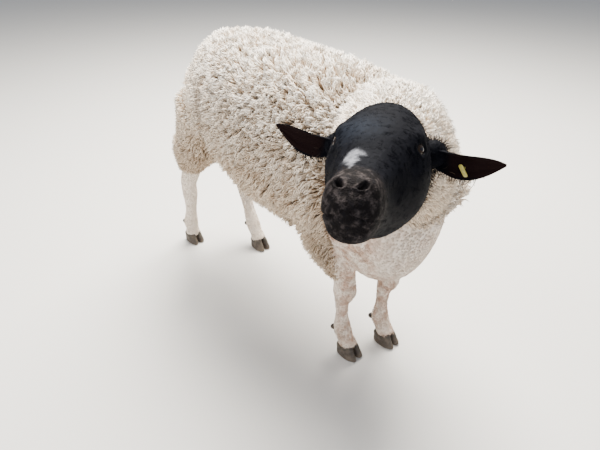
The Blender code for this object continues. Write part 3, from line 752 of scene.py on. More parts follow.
@dataclass
class Head:
    """The head with its lids' mounds, eye openings, nostrils and mouth line."""

    rings: int = 168
    sides: int = 160
    lid: float = 0.0028
    opening: tuple[float, float] = (0.0115, 0.0074)
    nostril: Triple = (0.0128, -0.2480, 0.0065)
    nostril_facing: Triple = (0.42, -0.86, 0.28)
    lips: float = -0.0240
    mouth_back: float = 0.178
    forms: tuple[Form, ...] = (
        Form((0.050, -0.096, 0.054), (0.014, 0.024, 0.011), 0.0050),
        Form((0.052, -0.060, -0.028), (0.028, 0.040, 0.034), 0.0040),
        Form((0.050, -0.092, 0.012), (0.010, 0.030, 0.008), 0.0030),
        Form((0.046, -0.126, 0.018), (0.010, 0.016, 0.012), -0.0030),
        Form((0.050, -0.060, 0.040), (0.010, 0.018, 0.014), -0.0025),
        Form((0.014, -0.170, 0.030), (0.010, 0.060, 0.010), 0.0012),
        Form((0.036, -0.170, -0.004), (0.010, 0.034, 0.012), -0.0030),
        Form((0.000, -0.110, 0.076), (0.026, 0.030, 0.020), -0.0020),
        Form((0.026, -0.230, -0.016), (0.014, 0.024, 0.012), 0.0012),
        Form((0.020, -0.244, 0.008), (0.010, 0.012, 0.010), 0.0030),
        Form((0.000, -0.250, -0.004), (0.0035, 0.020, 0.012), -0.0020),
        Form((0.022, -0.222, -0.044), (0.014, 0.024, 0.008), 0.0022),
        Form((0.000, -0.232, -0.050), (0.022, 0.018, 0.012), 0.0030),
        Form((0.030, -0.110, -0.052), (0.016, 0.040, 0.012), -0.0020),
    )

    def with_forms(self, grid: Array) -> Array:
        """The head with its soft rises and hollows.

        Args:
            grid: rings of the plain head.

        Returns:
            The grid, moved along its normals.
        """
        lift = np.zeros(grid.shape[:2])
        folded = grid.copy()
        folded[..., 0] = np.abs(folded[..., 0])
        for form in self.forms:
            away = (folded - np.array(form.place)) / np.array(form.spread)
            lift += form.lift * np.exp(-(away**2).sum(-1))
        return grid + grid_normals(grid) * lift[..., None]

    def with_mouth(self, grid: Array) -> Array:
        """The head with the line of its mouth between full lips, and the cleft of the upper lip.

        Args:
            grid: rings of the head.

        Returns:
            The grid, moved along its normals.
        """
        s = -grid[..., 1]
        line = self.lips - 0.010 * smoothstep(HEAD[-1].along, self.mouth_back, s)
        line += 0.0025 * smoothstep(0.250, 0.262, s)
        off = grid[..., 2] - line
        reach = smoothstep(self.mouth_back - 0.006, self.mouth_back + 0.010, s)
        lift = -0.0020 * np.exp(-((off / 0.0009) ** 2))
        for edge in (-0.0050, 0.0050):
            lift += 0.0004 * np.exp(-(((off - edge) / 0.0030) ** 2))
        cleft = np.exp(-((grid[..., 0] / 0.0009) ** 2)) * smoothstep(0.236, 0.246, s)
        cleft *= smoothstep(-0.001, 0.003, off) * smoothstep(0.020, 0.012, off)
        return grid + grid_normals(grid) * (lift * reach - 0.0014 * cleft)[..., None]

    def with_eyes(self, grid: Array) -> Array:
        """The head raised over each eyeball, and pushed in behind the opening between the lids.

        Args:
            grid: rings of the head.

        Returns:
            The grid, moved in and out from each eye's middle.
        """
        for side in Side:
            middle, rows = eye_basis(side)
            local = (grid - middle) @ rows.T
            far = np.linalg.norm(local, axis=-1)
            ball, soft = EYE_RADIUS + self.lid, 0.0022
            front = local[..., 2] > 0.002
            raised = (far + ball + np.sqrt((far - ball) ** 2 + soft**2)) / 2
            out = np.where(local[..., 2] > -0.002, raised, far)
            edge = sum((np.abs(local[..., k]) / self.opening[k]) ** 1.5 for k in (0, 1))
            inside = smoothstep(1.25, 0.85, edge) * front
            out = out * (1 - inside) + (EYE_RADIUS - 0.0030) * inside
            crease = np.exp(-(((np.sqrt(edge) - 1.55) / 0.10) ** 2)) * (local[..., 1] > 0) * front
            moved = local * ((out - 0.0009 * crease) / np.maximum(far, 1e-6))[..., None]
            grid = np.where((far < 0.024)[..., None], moved @ rows + middle, grid)
        return grid

    def with_nostrils(self, grid: Array) -> Array:
        """The head pushed in at each comma-shaped nostril, with a raised rim.

        Args:
            grid: rings of the head.

        Returns:
            The grid, moved along its normals.
        """
        normal = grid_normals(grid)
        for side in Side:
            facing, up = unit(mirrored(self.nostril_facing, side)), unit(mirrored((0.85, 0.20, 0.52), side))
            up = unit(up - facing * up.dot(facing))
            local = grid - mirrored(self.nostril, side)
            a, b = local @ np.cross(up, facing) * side.value, local @ up
            far = np.hypot((a + 30.0 * (b + 0.001) ** 2) / 0.0031, b / 0.0066)
            rim = 0.0009 * np.exp(-(((far - 1.35) / 0.25) ** 2))
            lift = -0.0065 * smoothstep(1.10, 0.70, far) + rim
            grid = grid + normal * (lift * (np.abs(local @ facing) < 0.016))[..., None]
        return grid

    def build(self) -> Object:
        """The closed head, from its joint inside the neck to the nose.

        Returns:
            The object.
        """
        eyes_and_nose = ((0.098, 0.016, 1.8), (0.250, 0.018, 2.4))
        s = warped(self.rings, HEAD[0].along - 0.004, HEAD[-1].along, eyes_and_nose)
        crowds = []
        for angle, gain in ((0.52, 1.2), (-0.62, 1.4)):
            for place in (angle, np.pi - angle - 2 * np.pi):
                crowds.append((place, 0.22, gain))
        angles = warped(self.sides + 1, -1.5 * np.pi, 0.5 * np.pi, tuple(crowds))[:-1]
        grid = self.with_forms(ring_grid(HEAD, s, angles, -1.0))
        grid = self.with_nostrils(self.with_eyes(self.with_mouth(grid)))
        nose = np.array((0.0, -HEAD[-1].along - 0.003, HEAD[-1].middle))
        back = np.array((0.0, 0.004 - HEAD[0].along, 0.0))
        return grid_object("head_flesh", from_head(grid), from_head(back), from_head(nose))


def eye_basis(side: Side) -> tuple[Array, Array]:
    """Where an eye is and how it is turned, in the head's frame.

    Args:
        side: which eye.

    Returns:
        Its middle, and three rows: along its opening, up it, and outwards.
    """
    facing = mirrored(EYE_FACING, side)
    along = np.array((0.0, -1.0, 0.12))
    along = unit(along - facing * along.dot(facing))
    return mirrored(EYE_PLACE, side), np.stack([along, np.cross(facing, along), facing])


@dataclass
class Ears:
    """Both ears, each a leaf-shaped cup rolled at its root."""

    rings: int = 56
    sides: int = 26

    def frame_of(self, side: Side) -> tuple[Array, Array, Array]:
        """An ear's directions.

        Args:
            side: which ear.

        Returns:
            Outwards, across, and the way that its cup opens.
        """
        axis, front = np.array(EAR_AXES[side]), mirrored(EAR_OPEN, side)
        front = unit(front - axis * front.dot(axis))
        return axis, np.cross(axis, front), front

    def bend(self, t: Array) -> tuple[Array, Array]:
        """How the cup is rolled.

        Args:
            t: shares of the ear's length.

        Returns:
            Half the angle that it turns through, and its radius.
        """
        wide = EAR_WIDTH * (0.80 + 0.55 * t) * (1 - t**2) + 0.003
        turn = 1.20 * (1 - t) ** 1.5 + 0.50
        return turn, wide / (2 * turn)

    def shell(self, side: Side) -> Object:
        """One ear's closed shell, with low ridges inside its cup.

        Args:
            side: which ear.

        Returns:
            The ear, in the sheep's frame.
        """
        axis, across, front = self.frame_of(side)
        t = warped(self.rings, 0.0, 1.0, ((1.0, 0.10, 1.5),))
        turn, radius = self.bend(t)
        bow = (side.value * EAR_BOW * np.sin(np.pi * t))[:, None]
        place = mirrored(EAR_ROOT, side) + axis * (EAR_LENGTH * t)[:, None] + across * bow
        share = np.linspace(-1, 1, self.sides + 1)
        angle = share[None, :] * turn[:, None]
        thick = EAR_THICKNESS * (0.30 + 0.55 * np.cos(share * np.pi / 2) ** 0.7)
        ridge = 0.0007 * np.cos(share * 9.0)[None, :] * np.sin(np.pi * t)[:, None]
        rows = []
        for r in (radius[:, None] + thick / 2, radius[:, None] - thick / 2 - ridge):
            flat = across * (r * np.sin(angle))[..., None]
            deep = front * (radius[:, None] * 0.8 - r * np.cos(angle))[..., None]
            rows.append(place[:, None] + flat + deep)
        return grid_object("ear_flesh", from_head(np.concatenate([rows[0], rows[1][:, ::-1]], axis=1)))

    def root(self, side: Side) -> Object:
        """The thick base between an ear and the head.

        Args:
            side: which ear.

        Returns:
            The base, in the sheep's frame.
        """
        axis, across, front = self.frame_of(side)
        middle = mirrored(EAR_ROOT, side) - axis * 0.004
        down, around = np.linspace(0, np.pi, 26)[1:-1, None, None], circle(40)
        ring = np.cos(around)[:, None] * across + np.sin(around)[:, None] * front
        grid = middle + 0.0180 * np.sin(down) * ring + 0.0170 * np.cos(down) * axis
        ends = [from_head(middle + sign * 0.017 * axis) for sign in (1, -1)]
        return grid_object("ear_root", from_head(grid), *ends)

    def local(self, points: Array, side: Side) -> Array:
        """Places, given in the head's frame, as distances along, across and out of an ear's cup."""
        return (points - mirrored(EAR_ROOT, side)) @ np.stack(self.frame_of(side)).T

    def inner_share(self, points: Array) -> Array:
        """How much places lie on the inside of an ear's cup.

        Args:
            points: places in the head's frame.

        Returns:
            A share from 0 to 1 for each place.
        """
        found = np.zeros(len(points))
        for side in Side:
            local = self.local(points, side)
            t = np.clip(local[:, 0] / EAR_LENGTH, 0, 1)
            _, radius = self.bend(t)
            off = np.hypot(local[:, 1] - side.value * EAR_BOW * np.sin(np.pi * t), local[:, 2] - radius * 0.8)
            found = np.maximum(found, (off < radius - 0.0004) * smoothstep(0.010, 0.022, local[:, 0]))
        return found


@dataclass
class CoatMap:
    """Tells for any place on the skin which part it is, how the coat lies, and where it unwraps to."""

    torso_patch: Patch = (0.0, 0.0, 1.0, 0.57)
    head_patch: Patch = (0.47, 0.58, 1.0, 0.79)
    ear_patch: Patch = (0.0, 0.93, 0.5, 1.0)
    ears: Ears = field(default_factory=Ears)
    limbs: tuple[Limb, ...] = (NECK_LIMB, TAIL_LIMB, *LEG_LIMBS.values())
    limb_reach: float = 1.45
    leg_top: float = 0.42
    nape: Triple = (-0.03, -0.33, 0.605)
    nape_facing: Triple = (-0.30, -0.62, 0.72)
    skull: tuple[Triple, float] = ((0, -0.11, 0), 0.21)

    def arc(self, rings: tuple[Ring, ...], at: Array) -> Array:
        """Shares of the way over a ringed form, measured along its surface.

        Args:
            rings: the form's keyed rings.
            at: places along its axis.

        Returns:
            Shares from 0 to 1.
        """
        along = np.linspace(rings[0].along, rings[-1].along, 300)
        values = ring_values(rings, along)
        reach = values[:, 1:4].mean(1)
        length = np.concatenate([[0], np.cumsum(np.hypot(np.diff(along), np.diff(reach)))])
        return np.interp(at, along, length / length[-1])

    def read(self, points: Array) -> tuple[Array, Array, Array]:
        """Reads the part of the body, the unwrap and the direction along the part.

        Args:
            points: (N, 3) places on or near the skin.

        Returns:
            Part numbers, places on the unwrap, and directions.
        """
        sheep, head = points + MIDDLE, to_head(points)
        middle = ring_values(TORSO, np.clip(sheep[:, 1], TORSO[0].along, TORSO[-1].along))[:, 0]
        around = turned(sheep[:, 0], sheep[:, 2] - middle)
        uv = self.within(self.torso_patch, around, self.arc(TORSO, sheep[:, 1]))
        ahead = np.broadcast_to(np.array((0.0, 1.0, 0.0)), points.shape).copy()
        part = np.full(len(points), int(Part.TORSO))
        best = np.full(len(points), self.limb_reach)
        for number, limb in enumerate(self.limbs, Part.NECK):
            far, along, around, way = limb.read(points)
            room = far < best
            if number > Part.TAIL:
                room &= sheep[:, 2] < self.leg_top
            if number == Part.NECK:
                room &= (sheep - self.nape) @ self.nape_facing > -0.03
            best = np.where(room, far, best)
            part[room], ahead[room] = number, way[room]
            uv[room] = self.within(limb.patch, around[room] / (2 * np.pi) + 0.5, along[room])
        middle, reach = self.skull
        room = (-head[:, 1] > -0.004) & (np.linalg.norm(head - middle, axis=1) < reach)
        around = turned(head[:, 0], head[:, 2] + 0.01)
        part[room], ahead[room] = Part.HEAD, HEAD_FRAME[:3, 1]
        uv[room] = self.within(self.head_patch, around, self.arc(HEAD, -head[:, 1]))[room]
        for number, side in zip(EARS, Side):
            local = self.ears.local(head, side)
            ear = (local[:, 0] > 0.006) & (np.hypot(local[:, 1], local[:, 2] - 0.012) < 0.045)
            left, low, right, high = self.ear_patch
            shift = 0.5 if side is Side.RIGHT else 0.0
            part[ear] = number
            patch, around = (left + shift, low, right + shift, high), turned(local[:, 1], local[:, 2] - 0.010)
            uv[ear] = self.within(patch, local[:, 0] / EAR_LENGTH, around)[ear]
            ahead[ear] = HEAD_FRAME[:3, :3] @ self.ears.frame_of(side)[0]
        return part, uv, ahead

    def within(self, patch: Patch, across: Array, up: Array) -> Array:
        """Places on a patch of the unwrap.

        Args:
            patch: its left, low, right and high edge.
            across: shares of the way across it.
            up: shares of the way up it.

        Returns:
            (N, 2) places.
        """
        left, low, right, high = patch
        shares = np.clip(np.stack([across, up], -1), 0, 1)
        return np.array((left, low)) + np.array((right - left, high - low)) * shares

    def lie(self, normals: Array, part: Array, ahead: Array) -> Array:
        """Which way the coat lies: back along the top, and down on the sides and below.

        Args:
            normals: the skin's normals.
            part: part numbers.
            ahead: directions along the parts.

        Returns:
            Directions along the skin.
        """
        down = smoothstep(0.25, 0.85, np.abs(normals[:, 0])) + smoothstep(0.0, -0.5, normals[:, 2])
        down = np.clip(down, 0, 1)
        way = np.stack([np.zeros_like(down), 1.0 - 0.6 * down, -0.05 - 1.1 * down], -1)
        ways = (
            (part == Part.NECK, -1, -0.55),
            (np.isin(part, LIMBS), 1, -0.3),
            (part == Part.HEAD, 1, -0.25),
            (np.isin(part, EARS), 1, 0.0),
        )
        for some, sign, droop in ways:
            way[some] = sign * ahead[some] + (0, 0, droop)
        return unit(way - normals * (way * normals).sum(-1, keepdims=True))


@dataclass
class Markings:
    """Where the hair is black, white, pink or woolly, and where the coat gets painted shade and a painted
    sheen.
    """

    patch_place: Triple = (-0.0140, -0.167, 0.0260)
    patch_tail: Triple = (0.0045, -0.0440, -0.0100)
    skull: Triple = (0, -0.11, 0)
    front_hem: float = 0.245
    hind_hem: float = 0.300
    hem_width: float = 0.020

    def chest(self, points: Array) -> Array:
        """How much places lie on the bare-looking chest, from 0 to 1.

        Args:
            points: the places.

        Returns:
            A share for each.
        """
        x, y, z = (points + MIDDLE).T
        top = 0.475 + 1.50 * np.clip(-0.055 - x, 0.0, 0.10)
        share = smoothstep(-0.255, -0.290, y) * smoothstep(0.022, -0.022, z - top)
        return share * smoothstep(-0.165, -0.140, x) * smoothstep(0.160, 0.130, x)

    def dark(self, points: Array) -> Array:
        """How black the coat is, from 0 to 1.

        Args:
            points: the places.

        Returns:
            A share for each.
        """
        head = to_head(points)
        near = smoothstep(0.24, 0.21, np.linalg.norm(head - self.skull, axis=1))
        return near * smoothstep(-0.016, -0.002, 0.008 * wobble(points, 0.020, 1.0) - head[:, 1])

    def fold(self, points: Array) -> Array:
        """How deep places lie in the folds behind the flanks, below the neck and in the hanging skirt, from 0
        to 1; the fleece is shorter there and painted with shade.

        Args:
            points: the places.

        Returns:
            A share for each.
        """
        x, y, z = (points + MIDDLE).T
        z = z + 0.010 * wobble(points, 0.018, 5.0)
        line = 0.092 + 0.30 * (z - 0.53)
        flank = 0.55 * smoothstep(0.036, 0.0, np.abs(y - line)) * smoothstep(0.64, 0.56, z)
        flank *= smoothstep(0.42, 0.46, z)
        flank *= smoothstep(0.04, 0.08, np.abs(x))
        neck = smoothstep(0.030, 0.006, np.abs(x + 0.066 - 0.9 * (z - 0.508))) * smoothstep(-0.455, -0.475, y)
        neck *= smoothstep(0.54, 0.51, z)
        skirt = smoothstep(0.42, 0.32, z) * smoothstep(-0.22, -0.26, y) * smoothstep(-0.09, -0.12, x)
        return np.clip(flank + neck + 0.45 * skirt, 0.0, 1.0)

    def gleam(self, points: Array) -> Array:
        """How much painted sky-blue sheen the forehead's black hair gets at places, from 0 to 1."""
        away = (to_head(points) - (-0.018, -0.112, 0.054)) / (0.032, 0.030, 0.030)
        return smoothstep(1.5, 0.1, np.linalg.norm(away, axis=1) + 0.15 * wobble(points, 0.012, 6.0))

    def patch(self, points: Array) -> Array:
        """How much of the small white mark on the nose a place has, from 0 to 1.

        Args:
            points: the places.

        Returns:
            A share for each.
        """
        head = to_head(points)
        place, tail = np.array(self.patch_place), np.array(self.patch_tail)
        share = np.clip(((head - place) @ tail) / (tail @ tail), 0.0, 1.0)[:, None]
        away = (head - place - share * tail) / ((0.0170, 0.0110, 0.018) - share * (0.0120, 0.0020, 0.0))
        far = np.linalg.norm(away, axis=1) + 0.55 * share[:, 0] + 0.30 * wobble(points, 0.0045, 4.0)
        return smoothstep(1.50, 0.0, far)

    def muzzle(self, points: Array) -> Array:
        """How much places lie on the thinly haired muzzle, from 0 to 1."""
        head = to_head(points)
        return smoothstep(0.185, 0.222, 0.006 * wobble(points, 0.015, 2.0) - head[:, 1] - 0.25 * head[:, 2])

    def wool(self, points: Array, part: Array) -> Array:
        """How much of the fleece grows at places on the skin.

        Args:
            points: the places.
            part: their part numbers.

        Returns:
            Shares from 0 to 1.
        """
        z = points[:, 2] + 0.012 * wobble(points, 0.030, 3.0)
        share = (1 - self.chest(points)) * (1 - smoothstep(0.0, 0.6, self.dark(points)))
        for legs, hem in ((FRONT_LEGS, self.front_hem), (HIND_LEGS, self.hind_hem)):
            some = np.isin(part, legs)
            share[some] *= smoothstep(hem, hem + self.hem_width, z[some])
        return share


@dataclass
class Skin:
    """One closed skin over the torso, neck, tail, legs, head and ears, without a seam between them."""

    voxel: float = 0.0052
    softness: int = 5
    stretch: float = 0.25
    hoof_edge: float = 0.036
    map: CoatMap = field(default_factory=CoatMap)
    markings: Markings = field(default_factory=Markings)

    def body(self) -> Object:
        """The torso, neck, tail and legs, melted together.

        Returns:
            The object.
        """
        parts = [Torso().build(), NECK_LIMB.build("neck_flesh"), TAIL_LIMB.build("tail_flesh")]
        parts += [limb.build("flesh_" + name) for name, limb in LEG_LIMBS.items()]
        body = joined("skin", parts)
        melt = body.modifiers.new("Melt", "REMESH")
        melt.mode, melt.voxel_size = "VOXEL", self.voxel
        soften = body.modifiers.new("Soften", "SMOOTH")
        soften.factor, soften.iterations = 0.5, self.softness
        bake_modifiers(body)
        return body

    def build(self) -> Object:
        """The skin, with its markings stored on it.

        Returns:
            The skin's object.
        """
        skin, ears = self.body(), Ears()
        extra = [Head().build()]
        for side in Side:
            extra += [ears.root(side), ears.shell(side)]
        fused(skin, extra)
        skin.data.shade_smooth()
        self.mark(skin)
        return skin

    def mark(self, skin: Object) -> None:
        """Stores the markings, the coat's lie and the growth of short hair on the skin.

        Args:
            skin: the skin's object.
        """
        points, normals = mesh_points(skin), mesh_normals(skin)
        part, _, ahead = self.map.read(points)
        head, ears, marks = to_head(points), np.isin(part, EARS), self.markings
        dark, wool, muzzle = marks.dark(points), marks.wool(points, part), marks.muzzle(points)
        inner = self.map.ears.inner_share(head) * ears
        nose = smoothstep(0.236, 0.246, -head[:, 1])
        sleek = 0.35 + 0.65 * smoothstep(0.050, 0.015, -head[:, 1])
        bare = [smoothstep(0.019, 0.015, np.linalg.norm(head - eye_basis(side)[0], axis=1)) for side in Side]
        short = np.where(ears, 0.25 * (1 - inner), sleek)
        # The chest's pink-brown grows further back under the chest: partly the skin's flush, partly painted
        # shade.
        flush = 0.2 + 0.8 * smoothstep(-0.430, -0.370, points[:, 1] + MIDDLE[1])
        along = ahead / np.linalg.norm(ahead, axis=1, keepdims=True)
        stretched = points - along * (points * along).sum(1, keepdims=True) * (1 - self.stretch)
        values = {
            "dark": dark,
            "wool": wool,
            "inner": inner,
            "patch": marks.patch(points) * dark,
            "muzzle": muzzle * dark,
            "pink": marks.chest(points) * (1 - dark) * flush,
            # A painted sky-blue sheen on the forehead's black hair.
            "gleam": marks.gleam(points) * dark,
            "black_share": dark * (1 - nose) * (1 - np.maximum(*bare)) * short,
            "white_share": (1 - dark) * smoothstep(0.35, 0.05, wool) * (points[:, 2] > self.hoof_edge),
            "size": np.where(ears, 0.45, 1.0) * (1 - 0.5 * muzzle),
            "hair_place": np.where((part == Part.HEAD)[:, None], head * (1, self.stretch, 1), stretched),
            "lie": self.map.lie(normals, part, ahead),
        }
        for name, found in values.items():
            put_values(skin, name, found)


@dataclass
class Eye:
    """An eyeball with its clear front, and the rims of the lids round it."""

    side: Side
    rings: int = 40
    around: int = 48
    bulge: float = 0.0011
    rim: float = 0.0012
    rim_reach: float = 0.0017
    rim_rings: int = 96
    rim_sides: int = 14
    opening: tuple[float, float] = (0.0122, 0.0079)

    @property
    def name(self) -> str:
        """The side as a word for names."""
        return self.side.name.lower()

    def ball(self) -> Object:
        """The eyeball, with its own directions stored on it as `gaze`.

        Returns:
            The object.
        """
        middle, rows = eye_basis(self.side)
        polar = np.linspace(0, np.pi, self.rings + 2)[1:-1]
        turn = circle(self.around)
        radius = EYE_RADIUS + self.bulge * smoothstep(0.95, 0.35, polar)
        flat, out = (np.sin(polar) * radius)[:, None], (np.cos(polar) * radius)[:, None]
        local = np.stack([flat * np.cos(turn), flat * np.sin(turn), out + 0 * turn], -1)
        ends = [from_head(middle + rows[2] * reach) for reach in (EYE_RADIUS + self.bulge, -EYE_RADIUS)]
        made = grid_object("eyeball_" + self.name, from_head(local @ rows + middle), *ends)
        put_values(made, "gaze", (to_head(mesh_points(made)) - middle) @ rows.T / EYE_RADIUS)
        return made

    def lids(self) -> Object:
        """The thick dark rims of both lids, meeting in the corners.

        Returns:
            The object.
        """
        middle, rows = eye_basis(self.side)
        count, sides = self.rim_rings, self.rim_sides
        turn = circle(count)
        waves = (np.cos(turn), np.sin(turn))
        x, y = (half * np.sign(w) * np.abs(w) ** (2 / 1.5) for half, w in zip(self.opening, waves))
        s, reach = waves[1], EYE_RADIUS + self.rim_reach
        path = np.stack([x, y, np.sqrt(np.maximum(reach**2 - x**2 - y**2, 0))], -1)
        ahead = unit(np.roll(path, -1, 0) - np.roll(path, 1, 0))
        out = unit(path)
        wide = np.cross(ahead, out)
        thick = self.rim * (0.75 + 0.45 * np.abs(s)) * np.where(s > 0, 1.15, 0.95)
        angles = circle(sides)
        ring = np.cos(angles)[None, :, None] * wide[:, None] + np.sin(angles)[None, :, None] * out[:, None]
        grid = from_head((path[:, None] + ring * thick[:, None, None]) @ rows + middle)
        i, j = np.meshgrid(np.arange(count), np.arange(sides), indexing="ij")
        near, far, k = i * sides, ((i + 1) % count) * sides, (j + 1) % sides
        quads = np.stack([near + j, near + k, far + k, far + j], -1).reshape(-1, 4)
        made = new_object("lids_" + self.name, grid.reshape(-1, 3), quads, None)
        face_out(made)
        return made


@dataclass
class Hoof:
    """A cloven hoof of two claws with growth rings, and the dewclaws behind the fetlock."""

    leg: str
    sides: int = 36
    cleft: float = 0.0016
    growth: float = 0.012
    # Height, and there the width and length as shares of the leg's own, and the shift backwards.
    levels: tuple[Patch, ...] = (
        (0.0, 1.00, 1.14, -0.008),
        (0.0030, 1.05, 1.21, -0.008),
        (0.0180, 1.01, 1.11, -0.004),
        (0.0300, 0.95, 1.00, 0.0),
        (0.0380, 0.70, 0.75, 0.0),
    )
    dewclaw_place: Triple = (0.0125, 0.0205, -0.004)
    dewclaw_axis: Triple = (0.25, 0.80, -0.62)

    def claw(self, side: Side) -> Object:
        """One claw, flat on the ground and sloping at the toe.

        Args:
            side: which of the two.

        Returns:
            The claw.
        """
        x, y, _ = LEG_LINES[self.leg][-1]
        half, deep = LEG_SIZES[self.leg.split("_")[0]][-1]
        z = np.concatenate([[0.0, 0.0006], np.linspace(0.0016, self.levels[-1][0], 44)])
        heights, *sizes = np.array(self.levels).T
        wide, long, shift = spline(heights, np.array(sizes).T, z).T
        wide, long = wide * half, long * deep
        ripple = 1 + self.growth * np.sin(z * 1500 + 0.8 * np.sin(z * 400)) * smoothstep(0.001, 0.006, z)
        ripple[0] *= 0.965
        reach = (wide / 2 - self.cleft / 2) * ripple
        power = np.full(len(z), 2.2)
        shape = (reach, long * 0.86 * ripple, long * ripple, power * 1.15, power * 0.92)
        across, back = oval(circle(self.sides), *shape)
        tip = smoothstep(0.2, 1.0, -back / long[:, None])
        grid = np.empty((len(z), self.sides, 3))
        middle = side.value * (wide / 2 + self.cleft / 2)[:, None]
        grid[..., 0] = x + middle + across - side.value * 0.0020 * tip
        grid[..., 1] = y + shift[:, None] + back
        grid[..., 2] = z[:, None]
        return grid_object("claw", grid - MIDDLE)

    def dewclaw(self, side: Side) -> Object:
        """One small blunt dewclaw behind the fetlock.

        Args:
            side: which of the two.

        Returns:
            The dewclaw.
        """
        place = np.array(LEG_LINES[self.leg][7]) + mirrored(self.dewclaw_place, side) - MIDDLE
        share, turn = np.linspace(0, 1, 14), circle(20)
        radius = 0.0060 * np.sqrt(np.clip(1 - share**2.4, 0, 1)) + 0.0003
        radius *= 1 + 0.02 * np.sin(share * 30)
        axis = unit(mirrored(self.dewclaw_axis, side))
        across = unit(np.cross(axis, np.array((0.0, 0.0, 1.0))))
        up = np.cross(across, axis)
        ring = np.cos(turn)[:, None] * across + 1.25 * np.sin(turn)[:, None] * up
        line = place + axis * (share * 0.0115 - 0.005)[:, None]
        return grid_object("dewclaw", line[:, None] + ring[None] * radius[:, None, None])

    def build(self) -> Object:
        """The claws and dewclaws of one leg as one piece."""
        parts = [make(side) for make in (self.claw, self.dewclaw) for side in Side]
        return joined("horn_" + self.leg, parts)


@dataclass
class Tag:
    """The plain yellow ear tag: a thin rounded plate with its round stud and its pin."""

    size: Triple = (0.0066, 0.0185, 0.0018)
    along: float = 0.0375
    down: float = 0.0110
    ahead: float = 0.0105
    lean: float = -0.50
    twist: float = 0.45
    stud: float = 0.0026
    pin: float = 0.0013
    pin_length: float = 0.0085

    def plate(self, radius: tuple[float, float], low: float, high: float, power: float) -> Array:
        """Rings of a thin plate with soft edges.

        Args:
            radius: half sizes.
            low: the lower face's height.
            high: the upper face's height.
            power: how square the outline is.

        Returns:
            The rings, in the tag's own frame.
        """
        edge = min(0.0004, (high - low) * 0.4)
        rise = edge * 0.4
        heights = np.array((low, low, low + rise, low + edge, high - edge, high - rise, high, high))
        inset = np.array((0.6, edge / radius[0], 0.3 * edge / radius[0], 0))
        share, power_row = 1.0 - np.concatenate([inset, inset[::-1]]), np.full(len(heights), power)
        wide, long = radius[0] * share, radius[1] * share
        across, up = oval(circle(56), wide, long, long, power_row, power_row)
        return np.stack([across, up, heights[:, None] + 0 * across], -1)

    def build(self) -> Object:
        """The tag, hanging in front of the left ear's cup.

        Returns:
            The object.
        """
        axis, across, front = Ears().frame_of(Side.LEFT)
        middle = np.array(EAR_ROOT) + axis * self.along + front * self.ahead + across * self.down
        level = np.stack([axis, across, -front])
        turn = Matrix.Rotation(self.lean, 3, "Z") @ Matrix.Rotation(self.twist, 3, "Y")
        wide, long, thick = Vector(self.size) / 2
        forms = [self.plate((wide, long), -thick, thick, 5.0)]
        for share in (1.0, 0.6):
            reach = (self.stud * share, self.stud * share)
            forms.append(self.plate(reach, -thick - 0.0005 / share, thick, 2.0))
        forms = [form @ np.array(turn).T for form in forms]
        forms.append(self.plate((self.pin, self.pin), 0.0, self.pin_length, 2.0))
        return joined("tag_plate", [grid_object("plate", from_head(form @ level + middle)) for form in forms])


